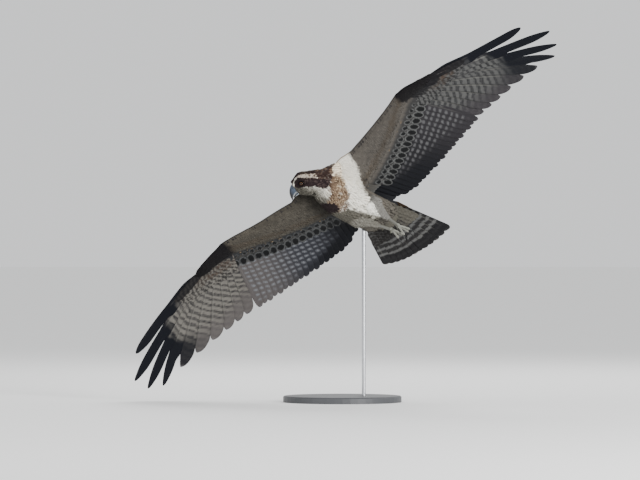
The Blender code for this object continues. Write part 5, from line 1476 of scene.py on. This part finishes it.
# Bill, eyes and lids
billShape = {
    "culmen": [(36.3, 12.5), (50.0, 9.5), (63.0, -6.0), (61.5, -28.2)],
    "tomium": [(36.3, -15.0), (48.0, -15.8), (55.0, -18.0), (61.2, -28.8)],
    "halfWidth": 9.8, "cereShare": 0.30, "cereSwell": 0.9, "nostril": (42.5, 2.5), "nostrilSize": (2.6, 1.5),
    "lowerTip": 54.0, "lowerDepth": 7.6, "lowerHalfWidth": 8.6,
    "horn": paint(30, 33, 42), "tip": paint(14, 16, 22), "base": paint(62, 74, 90), "cere": paint(78, 90, 106),
    "edge": paint(196, 200, 200), "mouth": paint(60, 44, 44),
}


def bezier(corners, share):
    # a smooth curve drawn by two ends and two handles
    p = np.array(corners, float)
    s = np.asarray(share)[..., None]
    return p[0] * (1 - s) ** 3 + 3 * p[1] * s * (1 - s) ** 2 + 3 * p[2] * s * s * (1 - s) + p[3] * s ** 3


def makeUpperBill():
    # sections from the mouth's edge to the culmen; the sides swell over the cere and pinch in above,
    # and each nostril is a slanted hollow
    rows, count = 64, 56
    shares, angles = np.meshgrid(np.linspace(0, 1, rows) ** 0.9, np.arange(count) * 2 * math.pi / count,
                                 indexing="ij")
    top, low = bezier(billShape["culmen"], shares), bezier(billShape["tomium"], shares)
    swell = 1 + billShape["cereSwell"] / 10 * np.sin(math.pi * np.clip(shares / billShape["cereShare"], 0, 1))
    halfWidth = billShape["halfWidth"] * swell * np.maximum(0.05, (1 - shares) ** 0.75)
    pinch = 1 - 0.25 * np.clip(np.sin(angles), 0, 1)
    flat = (top + low) / 2 + np.sin(angles)[..., None] * (top - low) / 2
    side = halfWidth * np.cos(angles) * pinch
    step = smoothStep(billShape["cereShare"] - 0.02, billShape["cereShare"] + 0.03, shares)
    side = side * (1 - 0.06 * step)
    slant = ((flat[..., 0] - billShape["nostril"][0]) * 0.8 + (flat[..., 1] - billShape["nostril"][1]) * 0.6)
    cross = (-(flat[..., 0] - billShape["nostril"][0]) * 0.6 + (flat[..., 1] - billShape["nostril"][1]) * 0.8)
    hollow = np.exp(-((slant / billShape["nostrilSize"][0]) ** 2 + (cross / billShape["nostrilSize"][1]) ** 2) * 1.2)
    side = side * (1 - 0.26 * hollow)
    points = headPoints(np.stack([flat[..., 0], side, flat[..., 1]], -1))
    uneven = ripple(points, 7.0, 61)
    tint = mixed(np.broadcast_to(billShape["base"], points.shape), billShape["horn"],
                 np.clip(smoothStep(0.32, 0.62, shares + 0.03 * uneven) + smoothStep(0.55, 0.95, np.sin(angles)), 0, 1))
    tint = mixed(tint, billShape["cere"], (1 - step) * 0.9)
    # a painted highlight: pale along the upper bill's cutting edge, fading towards the tip
    tint = mixed(tint, billShape["edge"], within(-0.98, -0.80, 0.08, np.sin(angles)) * (1 - smoothStep(0.6, 0.9, shares)) * 0.8)
    tint = mixed(tint, billShape["tip"], smoothStep(0.62, 0.85, shares))
    tint = mixed(tint, billShape["tip"], np.clip(hollow * 1.6 - 0.3, 0, 1))
    bake = np.stack([shares * 0.9 + 0.05, angles / 6.3 * 0.9 + 0.02], -1).reshape(-1, 2)
    tints = tint.reshape(-1, 3)
    return makePiece("bill_upper_horn", tubePoints(points), tubeFaces(rows, count),
                     np.concatenate([tints, tints[:1], tints[-1:]]), np.concatenate([bake, bake[:1], bake[-1:]]),
                     materials["horn"], "bill_horn", ("bill_upper",))


def makeLowerBill():
    rows, count = 40, 40
    shares, angles = np.meshgrid(np.linspace(0, 1, rows), np.arange(count) * 2 * math.pi / count, indexing="ij")
    forward = 34.0 + (billShape["lowerTip"] - 34.0) * shares
    edge = bezier(billShape["tomium"], np.linspace(0, 1, 60))
    mouth = np.interp(forward, edge[:, 0], edge[:, 1])
    depth = billShape["lowerDepth"] * np.maximum(0.10, np.sqrt(np.clip(1 - shares ** 2, 0, 1)))
    halfWidth = billShape["lowerHalfWidth"] * np.maximum(0.12, (1 - shares) ** 0.6)
    height = mouth - 0.5 - depth / 2 + depth / 2 * np.sin(angles)
    points = headPoints(np.stack([forward, halfWidth * np.cos(angles), height], -1))
    tint = mixed(np.broadcast_to(billShape["base"], points.shape), billShape["tip"], smoothStep(0.35, 0.75, shares))
    tint = mixed(tint, billShape["edge"], within(-0.95, -0.3, 0.2, np.sin(angles)) * 0.6 * (1 - shares))
    bake = np.stack([shares * 0.9 + 0.05, angles / 6.3 * 0.9 + 0.02], -1).reshape(-1, 2)
    tints = tint.reshape(-1, 3)
    return makePiece("bill_lower_horn", tubePoints(points), tubeFaces(rows, count),
                     np.concatenate([tints, tints[:1], tints[-1:]]), np.concatenate([bake, bake[:1], bake[-1:]]),
                     materials["horn"], "bill_horn", ("bill_lower",))


makeUpperBill()
makeLowerBill()

eyeShape = {
    "place": (12.0, 19.8, -2.0), "radius": 9.0, "turn": 20.0, "iris": 4.7, "pupil": 2.9, "lidRadius": 6.2,
    "lidDepth": 6.4, "lidThickness": 1.7,
    "irisInner": paint(104, 70, 26), "irisOuter": paint(46, 28, 14), "pupilTone": paint(5, 5, 6),
    "white": paint(46, 34, 26), "lid": paint(24, 20, 20),
}


def eyeAxes(sign):
    # the head's axes turned towards the eye's line of sight
    turn = math.radians(90 - eyeShape["turn"]) * sign
    ahead = np.array([math.cos(turn), math.sin(turn), 0.0])
    across = np.array([-math.sin(turn), math.cos(turn), 0.0])
    place = np.array(eyeShape["place"]) * np.array([1, sign, 1])
    return headPoints(place), headAxes @ ahead, headAxes @ across, headAxes[:, 2]


def glassMaterial():
    # the tint under a clear coat, so that the eye shines
    material, nodeSet, links = newMaterial("eyeGlass")
    shader = nodeSet["Principled BSDF"]
    tint = nodeSet.new("ShaderNodeAttribute")
    tint.attribute_name = "tint"
    place = nodeSet.new("ShaderNodeTexCoord")
    noise = nodeSet.new("ShaderNodeTexNoise")
    noise.inputs["Scale"].default_value = 1400.0
    links.new(place.outputs["Object"], noise.inputs["Vector"])
    span = nodeSet.new("ShaderNodeMapRange")
    span.inputs["To Min"].default_value = 0.8
    span.inputs["To Max"].default_value = 1.2
    links.new(noise.outputs["Fac"], span.inputs["Value"])
    shade = nodeSet.new("ShaderNodeVectorMath")
    shade.operation = "SCALE"
    links.new(tint.outputs["Color"], shade.inputs[0])
    links.new(span.outputs["Result"], shade.inputs["Scale"])
    links.new(shade.outputs["Vector"], shader.inputs["Base Color"])
    shader.inputs["Roughness"].default_value = 0.08
    shader.inputs["Specular IOR Level"].default_value = 0.2
    shader.inputs["Coat Weight"].default_value = 0.3
    shader.inputs["Coat Roughness"].default_value = 0.02
    return material


materials["eyeGlass"] = glassMaterial()


def makeEye(side):
    sign = 1 if side == "left" else -1
    centre, ahead, across, above = eyeAxes(sign)
    rows, count = 60, 64
    tilt, turn = np.meshgrid(np.linspace(0.012, math.pi - 0.012, rows), np.arange(count) * 2 * math.pi / count,
                             indexing="ij")
    radius = eyeShape["radius"]
    out = radius * np.sin(tilt)
    points = (centre + ahead * (radius * np.cos(tilt))[..., None]
              + across * (out * np.cos(turn))[..., None] + above * (out * np.sin(turn))[..., None])
    near = np.where(np.cos(tilt) > 0, out, 99.0)
    rays = 0.5 + 0.5 * np.sin(turn * 31 + 2 * np.sin(turn * 7))
    tint = mixed(np.broadcast_to(eyeShape["irisInner"], points.shape), eyeShape["irisOuter"],
                 np.clip(smoothStep(3.6, eyeShape["iris"], near) * 0.8 + 0.25 * rays, 0, 1))
    tint = mixed(tint, eyeShape["pupilTone"], 1 - smoothStep(eyeShape["pupil"] - 0.25, eyeShape["pupil"] + 0.25, near))
    tint = mixed(tint, eyeShape["white"], smoothStep(eyeShape["iris"] - 0.1, eyeShape["iris"] + 0.5, near))
    bake = np.stack([turn / 6.3 * 0.9 + 0.02, tilt / math.pi * 0.9 + 0.05], -1).reshape(-1, 2)
    tints = tint.reshape(-1, 3)
    faces = [group[:, ::-1] for group in tubeFaces(rows, count)]
    makePiece("eye_" + side + "_ball", tubePoints(points), faces, np.concatenate([tints, tints[:1], tints[-1:]]),
              np.concatenate([bake, bake[:1], bake[-1:]]), materials["eyeGlass"], "eye_glass", ("eye_" + side,))
    # the lids: a ring round the line of sight, almond shaped, heavier above
    along, around = np.meshgrid(np.arange(72) * 2 * math.pi / 72, np.arange(14) * 2 * math.pi / 14, indexing="ij")
    wide = eyeShape["lidRadius"] * (1.0 + 0.07 * np.cos(2 * along))
    high = eyeShape["lidRadius"] * (0.90 - 0.05 * np.cos(2 * along))
    thick = eyeShape["lidThickness"] * (1 + 0.35 * np.clip(np.sin(along), 0, 1) + 0.08 * np.sin(along * 24))
    outward = across * np.cos(along)[..., None] + above * np.sin(along)[..., None]
    rim = (centre + ahead * eyeShape["lidDepth"] + across * (wide * np.cos(along))[..., None]
           + above * (high * np.sin(along))[..., None])
    lid = rim + outward * (thick * np.cos(around))[..., None] + ahead * (thick * np.sin(around))[..., None]
    k = gridFaces(72, 14, True)
    wrap = np.stack([np.arange(14) + 71 * 14, (np.arange(14) + 1) % 14 + 71 * 14, (np.arange(14) + 1) % 14,
                     np.arange(14)], -1)
    faces = np.concatenate([k, wrap])[:, ::-1]
    bake = np.stack([along / 6.3 * 0.9 + 0.02, around / 6.3 * 0.9 + 0.02], -1).reshape(-1, 2)
    makePiece("eye_" + side + "_lid", lid.reshape(-1, 3), faces, np.broadcast_to(eyeShape["lid"], (72 * 14, 3)), bake,
              materials["skin"], "bill_horn")


for eyeSide in ("left", "right"):
    makeEye(eyeSide)


# Feet and claws
feet = {
    "shankRadius": 4.7, "toeRadius": 3.5, "palm": 6.4, "palmLength": 15.0, "toeStart": 9.0, "arch": 2.0,
    "toes": [("inner", -12.0, 34.0, 24.0), ("middle", 8.0, 40.0, 6.0), ("outer", 26.0, 36.0, 12.0),
             ("hind", 180.0, 24.0, 62.0)],
    "clawLength": 24.0, "clawRadius": 2.9, "clawBend": 95.0,
    "skin": paint(148, 148, 140), "skinDark": paint(86, 84, 80), "claw": paint(16, 16, 20),
}


def limbTube(start, end, radii, rows, count, arch=0.0, scutes=0.0, plain=0.0):
    # a tube whose radius follows the listed shares; scutes are shallow rings over its upper side
    start, end = np.array(start, float), np.array(end, float)
    axis = unit(end - start)
    side = unit(np.cross([0.0, 0.0, 1.0], axis))
    up = np.cross(axis, side)
    shares, angles = np.meshgrid(np.linspace(0, 1, rows), np.arange(count) * 2 * math.pi / count, indexing="ij")
    radius = smoothRows(np.c_[np.linspace(0, 1, len(radii)), radii], shares)[..., 0]
    length = np.linalg.norm(end - start)
    ring = np.abs(np.sin(math.pi * shares * length / 2.6))
    radius = radius * (1 + scutes * (ring ** 0.5 - 0.7) * smoothStep(-0.2, 0.5, np.sin(angles)))
    knobs = np.sin(angles * 5 + shares * length * 1.9) * np.sin(shares * length * 2.3)
    radius = radius * (1 + scutes * 0.8 * knobs * smoothStep(0.1, -0.4, np.sin(angles)))
    centre = start + (end - start) * shares[..., None] + up * (arch * np.sin(math.pi * shares))[..., None]
    points = (centre + side * (radius * np.cos(angles))[..., None] + up * (radius * np.sin(angles))[..., None])
    dark = np.clip(0.55 * (1 - ring ** 0.5) * smoothStep(-0.2, 0.5, np.sin(angles)) + 0.25 * smoothStep(0, -1, np.sin(angles)), 0, 1)
    tint = mixed(np.broadcast_to(feet["skin"], points.shape), feet["skinDark"], np.clip(dark + plain, 0, 1))
    bake = np.stack([shares, angles / 6.3], -1)
    return points, tint, bake


def tubePart(points, tint, bake, cell, count):
    # one tube's points, faces, tints and bake places inside its own cell of a table of cells
    rows, around = points.shape[:2]
    across = int(math.ceil(math.sqrt(count)))
    corner = np.array([cell % across, cell // across]) / across
    local = (bake.reshape(-1, 2) * 0.9 + 0.05) / across + corner
    return (tubePoints(points), tubeFaces(rows, around),
            np.concatenate([tint.reshape(-1, 3), tint[0, :1], tint[-1, :1]]),
            np.concatenate([local, local[:1], local[-1:]]))


def makeLeg(side):
    ankle, heel = (np.array(legs[side][key]) for key in ("ankle", "foot"))
    axis = unit(heel - ankle)
    outward = 1 if side == "left" else -1
    radius = feet["shankRadius"]
    shank = limbTube(ankle - axis * 4, heel + axis * 2, (radius, radius * 0.9, radius * 0.92, radius * 1.05), 60, 28,
                     scutes=0.05, plain=0.45)
    points, faces, tints, bakes = joined([tubePart(*shank, 0, 1)])
    makePiece("shank_" + side + "_skin", points, faces, tints, bakes, materials["scale"], "foot_skin",
              ("shank_" + side,))
    parts = []
    palm = limbTube(heel - axis * 1.5, heel + axis * feet["palmLength"], (radius, feet["palm"] * 0.95, feet["palm"],
                                                                       feet["palm"] * 0.7), 30, 32, scutes=0.05)
    parts.append(tubePart(*palm, 0, 5))
    girths = np.array([1.0, 1.06, 0.84, 1.02, 0.8, 0.96, 0.74]) * feet["toeRadius"]
    for k, (toe, spread, length, droop) in enumerate(feet["toes"]):
        turn = math.radians(-spread * outward)
        level = unit(np.array([axis[0] * math.cos(turn) - axis[1] * math.sin(turn),
                               axis[0] * math.sin(turn) + axis[1] * math.cos(turn), 0.0]))
        fall = math.radians(droop)
        direction = level * math.cos(fall) + np.array([0.0, 0.0, -math.sin(fall)])
        start = heel + axis * feet["toeStart"]
        end = start + direction * length
        parts.append(tubePart(*limbTube(start, end, girths, 44, 24, feet["arch"], 0.07), k + 1, 5))
        # the claw: a tapered tube bent through a fixed angle, flattened a little underneath
        down = np.array([0.0, 0.0, -1.0])
        down = unit(down - direction * (direction @ down))
        across = unit(np.cross(down, direction))
        rows, count = 34, 20
        share = np.linspace(0, 1, rows)
        bend = np.radians(feet["clawBend"]) * share
        forward = direction * np.cos(bend)[:, None] + down * np.sin(bend)[:, None]
        under = down * np.cos(bend)[:, None] - direction * np.sin(bend)[:, None]
        path = end + np.concatenate([[np.zeros(3)], np.cumsum(
            (forward[1:] + forward[:-1]) / 2 * feet["clawLength"] / (rows - 1), axis=0)])
        girth = feet["clawRadius"] * np.maximum(0.05, (1 - share) ** 0.8)
        angles = np.arange(count) * 2 * math.pi / count
        rings = (path[:, None] + across * (girth[:, None] * np.cos(angles) * 0.86)[..., None]
                 + under[:, None] * (girth[:, None] * np.sin(angles))[..., None])
        tint = np.broadcast_to(feet["claw"], rings.shape) * (1 + 0.8 * (1 - smoothStep(0, 0.25, share)))[:, None, None]
        bake = np.stack(np.broadcast_arrays(share[:, None], angles[None] / 6.3), -1)
        clawPart = joined([tubePart(rings, tint, bake, 0, 1)])
        makePiece("claw_" + side + "_" + toe + "_horn", *clawPart, materials["horn"], "claw_horn",
                  ("claw_" + side + "_" + toe,))
    points, faces, tints, bakes = joined(parts)
    makePiece("foot_" + side + "_skin", points, faces, tints, bakes, materials["scale"], "foot_skin",
              ("foot_" + side,))


for legSide in ("left", "right"):
    makeLeg(legSide)


# The stand's nodes keep their shapes and get a cast, painted base and a brushed steel rod
standLook = {"paint": (0.055, 0.057, 0.062), "paintRough": 0.5, "steel": (0.52, 0.53, 0.55), "steelRough": 0.3}


def standPaint():
    material, nodeSet, links = newMaterial("standPaint")
    shader = nodeSet["Principled BSDF"]
    place = nodeSet.new("ShaderNodeTexCoord")
    noise = nodeSet.new("ShaderNodeTexNoise")
    noise.inputs["Scale"].default_value = 420.0
    noise.inputs["Detail"].default_value = 4.0
    links.new(place.outputs["Object"], noise.inputs["Vector"])
    ramp = nodeSet.new("ShaderNodeMapRange")
    ramp.inputs["To Min"].default_value = 0.85
    ramp.inputs["To Max"].default_value = 1.2
    links.new(noise.outputs["Fac"], ramp.inputs["Value"])
    shade = nodeSet.new("ShaderNodeVectorMath")
    shade.operation = "SCALE"
    shade.inputs[0].default_value = standLook["paint"]
    links.new(ramp.outputs["Result"], shade.inputs["Scale"])
    links.new(shade.outputs["Vector"], shader.inputs["Base Color"])
    bump = nodeSet.new("ShaderNodeBump")
    bump.inputs["Strength"].default_value = 0.25
    bump.inputs["Distance"].default_value = 0.0004
    links.new(noise.outputs["Fac"], bump.inputs["Height"])
    links.new(bump.outputs["Normal"], shader.inputs["Normal"])
    shader.inputs["Roughness"].default_value = standLook["paintRough"]
    return material


def standSteel():
    material, nodeSet, links = newMaterial("standSteel")
    shader = nodeSet["Principled BSDF"]
    place = nodeSet.new("ShaderNodeTexCoord")
    stretch = nodeSet.new("ShaderNodeMapping")
    stretch.inputs["Scale"].default_value = (900.0, 900.0, 14.0)
    links.new(place.outputs["Object"], stretch.inputs["Vector"])
    noise = nodeSet.new("ShaderNodeTexNoise")
    noise.inputs["Scale"].default_value = 1.0
    links.new(stretch.outputs["Vector"], noise.inputs["Vector"])
    ramp = nodeSet.new("ShaderNodeMapRange")
    ramp.inputs["To Min"].default_value = 0.8
    ramp.inputs["To Max"].default_value = 1.15
    links.new(noise.outputs["Fac"], ramp.inputs["Value"])
    shade = nodeSet.new("ShaderNodeVectorMath")
    shade.operation = "SCALE"
    shade.inputs[0].default_value = standLook["steel"]
    links.new(ramp.outputs["Result"], shade.inputs["Scale"])
    links.new(shade.outputs["Vector"], shader.inputs["Base Color"])
    shader.inputs["Metallic"].default_value = 1.0
    shader.inputs["Roughness"].default_value = standLook["steelRough"]
    return material


for nodeName, finish in (("stand_base", standPaint()), ("stand_rod", standSteel())):
    nodeMesh = nodes[nodeName].data
    nodeMesh.materials.clear()
    nodeMesh.materials.append(finish)


# Floor, light and camera
stage = {
    "floorRadius": 60.0, "floor": (0.93, 0.93, 0.92), "world": (0.95, 0.96, 0.97), "worldStrength": 1.0,
    "camera": (-0.06406, -12.046, 0.46496), "lens": 236.1,
    # place, size, strength of each soft light
    "lights": [((3.4, -5.0, 1.3), 2.0, 420.0), ((-3.0, -3.6, 0.9), 2.8, 40.0), ((0.6, 2.6, 3.2), 2.2, 90.0)],
}


def makeStage():
    turn = np.arange(128) * 2 * math.pi / 128
    points = np.c_[np.cos(turn), np.sin(turn), np.zeros(128)] * stage["floorRadius"]
    mesh = bpy.data.meshes.new("floor")
    mesh.from_pydata(points.tolist(), [], [list(range(128))])
    floor = bpy.data.objects.new("floor", mesh)
    bpy.context.scene.collection.objects.link(floor)
    material, nodeSet, links = newMaterial("floorPaint")
    shader = nodeSet["Principled BSDF"]
    shader.inputs["Base Color"].default_value = (*stage["floor"], 1.0)
    shader.inputs["Roughness"].default_value = 0.9
    mesh.materials.append(material)
    world = bpy.data.worlds.new("studio")
    world.use_nodes = True
    sky = world.node_tree.nodes["Background"]
    sky.inputs["Color"].default_value = (*stage["world"], 1.0)
    sky.inputs["Strength"].default_value = stage["worldStrength"]
    bpy.context.scene.world = world
    for k, (place, size, strength) in enumerate(stage["lights"]):
        light = bpy.data.lights.new("softLight" + str(k), "AREA")
        light.shape = "DISK"
        light.size = size
        light.energy = strength
        lamp = bpy.data.objects.new("softLight" + str(k), light)
        bpy.context.scene.collection.objects.link(lamp)
        lamp.location = place
        lamp.rotation_euler = (Vector((0.0, 0.0, 0.5)) - Vector(place)).to_track_quat("-Z", "Y").to_euler()
    camera = bpy.data.cameras.new("camera")
    camera.sensor_width = 36.0
    camera.lens = stage["lens"]
    camera.clip_end = 300.0
    view = bpy.data.objects.new("camera", camera)
    bpy.context.scene.collection.objects.link(view)
    view.location = stage["camera"]
    view.rotation_euler = (math.radians(90), 0.0, 0.0)
    bpy.context.scene.camera = view
    print("stage, lights and camera")


makeStage()
